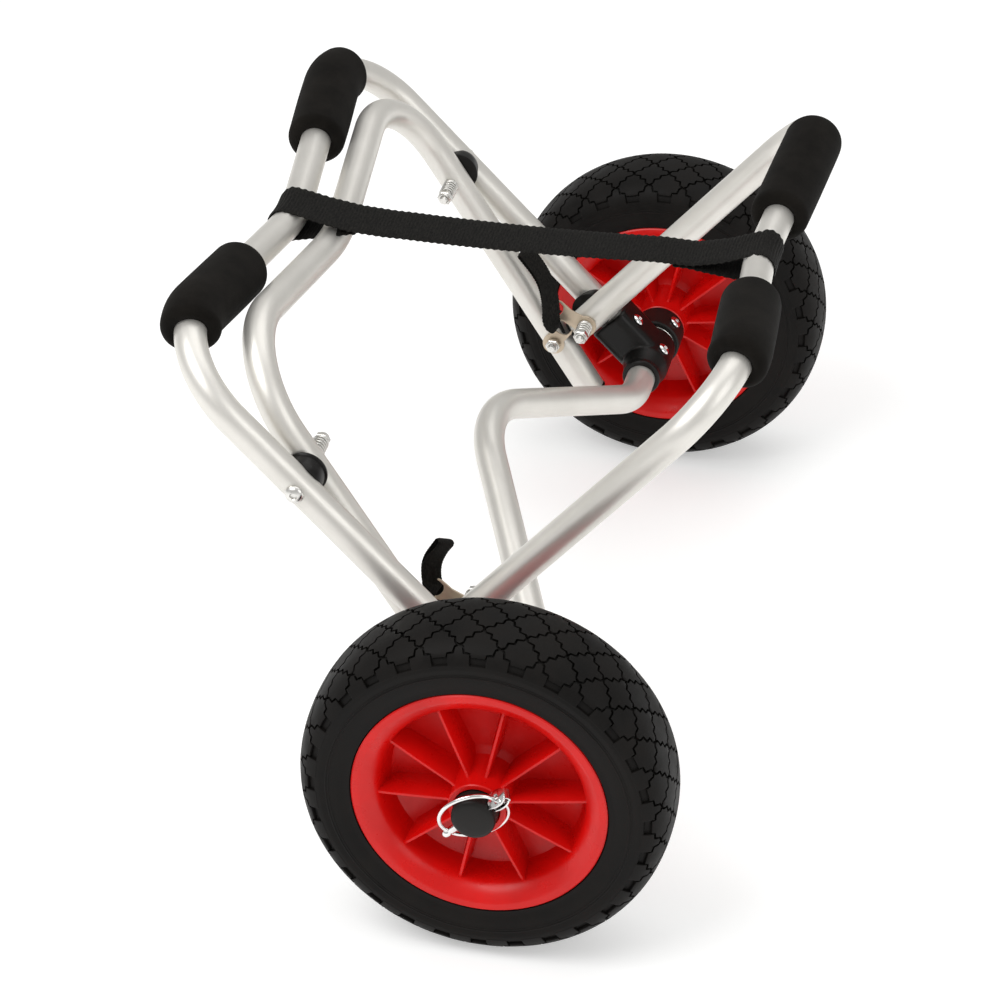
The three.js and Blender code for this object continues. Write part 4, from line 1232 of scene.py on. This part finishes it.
def strap_line():
    """The strap's centre line: tail under, round the front V, across, round the rear V, tail."""
    join_front = front_eye + (STRAP_LAP, 0, 1.0)
    join_rear = rear_eye + (-STRAP_LAP, 0, -4.0)

    def wrap(eye, start, stop):
        turns = np.radians(np.linspace(start, stop, 40))
        return [eye + STRAP_ROUND * np.array((math.cos(a), 0, math.sin(a))) for a in turns]

    line = [join_front + (4, 0, 0.3), join_front, *wrap(front_eye, -62, -262)]
    line += [front_eye + (24, 0, STRAP_ROUND - 5.4), join_front + (0, 0, 1.9), join_front + (24, 0, 0.6)]
    from_front, to_rear = join_front + (36, 0, 0.6), join_rear + (-36, 0, 2.0)
    for t in np.linspace(0, 1, 9):
        line.append((1 - t) * from_front + t * to_rear - (0, 0, STRAP_SAG * 4 * t * (1 - t)))
    line += [join_rear + (-24, 0, 2.6), join_rear + (0, 0, 1.9), rear_eye + (-24, 0, STRAP_ROUND - 9.5)]
    line += [*wrap(rear_eye, 82, -118), join_rear, join_rear + (-12, 0, 0.4)]
    return np.array(line)


def main_strap():
    """Webbing on the V's: it dishes a little where it rides round each bend."""
    line = strap_line()
    lengths = distances(line)
    points = rows_at(np.arange(0, lengths[-1], 0.5), lengths, line)
    padded_points = np.pad(points, ((4, 4), (0, 0)), mode="edge")
    points = np.stack([np.convolve(column, np.ones(9) / 9, "valid") for column in padded_points.T], 1)
    knots = [front_eye[0], front_eye[0] + STRAP_LAP, rear_eye[0] - STRAP_LAP]
    twist = np.radians(np.interp(points[:, 0], knots, [0, STRAP_TWIST, 0]))[:, None]
    widths = np.cos(twist) * Y_AXIS + np.sin(twist) * Z_AXIS
    faces = np.cross(tangents(points), widths)
    width = STRAP_WIDTH - 0.9
    rings = np.array(ribbon(points, widths, faces, width, STRAP_THICKNESS, 0.55, 5.0, 0.26, 16))
    offset = rings[..., 1] / (STRAP_WIDTH / 2)
    dish = (STRAP_WIDTH / 2) ** 2 / (2 * DISH_RADIUS)
    for eye, down in ((front_eye, FRONT_DOWN), (rear_eye, REAR_DOWN)):
        away = np.linalg.norm((points - eye) * (1, 0, 1), axis=1)
        share = np.clip(1 - (away - STRAP_ROUND) / DISH_REACH, 0, 1) ** 2
        rings += share[:, None, None] * (offset**2)[..., None] * dish * -down
    parts = Parts()
    parts.grid(rings)
    thing = parts.build("strap_band", STRAP, 60)
    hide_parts("main_strap")
    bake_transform(thing)


main_strap()

# ---------- camera, light and floor ----------

CAMERA_AZIMUTH = 12.61
CAMERA_ELEVATION = 32.12
CAMERA_DISTANCE = 2.7515
CAMERA_LENS = 136.57
AIM = AXLE + Vector((-63.7, -7.6, 10.3)) * MM


def towards(azimuth, elevation):
    """Unit vector from the aim point out to a viewer; azimuth 0 is straight in front, at -Y."""
    azimuth, elevation = math.radians(azimuth), math.radians(elevation)
    flat = math.cos(elevation)
    return Vector((math.sin(azimuth) * flat, -math.cos(azimuth) * flat, math.sin(elevation)))


def look(thing, azimuth, elevation, distance):
    """Puts a camera or a light at a distance from the aim point, turned towards it."""
    thing.location = AIM + towards(azimuth, elevation) * distance
    thing.rotation_euler = (AIM - thing.location).to_track_quat("-Z", "Y").to_euler()
    bpy.context.scene.collection.objects.link(thing)


camera = bpy.data.objects.new("camera", bpy.data.cameras.new("camera"))
camera.data.lens = CAMERA_LENS
camera.data.sensor_width = 36
camera.data.clip_end = 50
look(camera, CAMERA_AZIMUTH, CAMERA_ELEVATION, CAMERA_DISTANCE)
bpy.context.scene.camera = camera


def softbox(name, azimuth, elevation, distance, size, power):
    light = bpy.data.lights.new(name, "AREA")
    light.shape = "RECTANGLE"
    light.size, light.size_y = size
    light.energy = power
    look(bpy.data.objects.new(name, light), azimuth, elevation, distance)


softbox("key", azimuth=-42, elevation=52, distance=2.6, size=(1.8, 1.4), power=34)
softbox("fill", azimuth=62, elevation=30, distance=2.8, size=(1.5, 1.8), power=13)
softbox("top", azimuth=150, elevation=70, distance=2.6, size=(2.2, 2.2), power=16)

world = bpy.data.worlds.new("studio")
world.use_nodes = True
sky = world.node_tree.nodes["Background"]
sky.inputs["Color"].default_value = (1.0, 0.995, 0.985, 1)
sky.inputs["Strength"].default_value = 0.50
bpy.context.scene.world = world
bpy.context.scene.view_settings.view_transform = "Standard"

FLOOR_HALF = 12.0
floor_mesh = bpy.data.meshes.new("floor")
corner_signs = ((-1, -1), (1, -1), (1, 1), (-1, 1))
floor_corners = [(x * FLOOR_HALF, y * FLOOR_HALF, -0.0005) for x, y in corner_signs]
floor_mesh.from_pydata(floor_corners, [], [(0, 1, 2, 3)])
floor = bpy.data.objects.new("floor", floor_mesh)
bpy.context.scene.collection.objects.link(floor)
glow = {"Emission_Color": (1, 1, 0.995, 1), "Emission_Strength": 0.4}
paper = Shader("floor_paper", (0.78, 0.78, 0.778), 0.9, **glow)
paper.relief(paper.noise(300, 3), 0.05, 0.3)
floor_mesh.materials.append(paper.material)
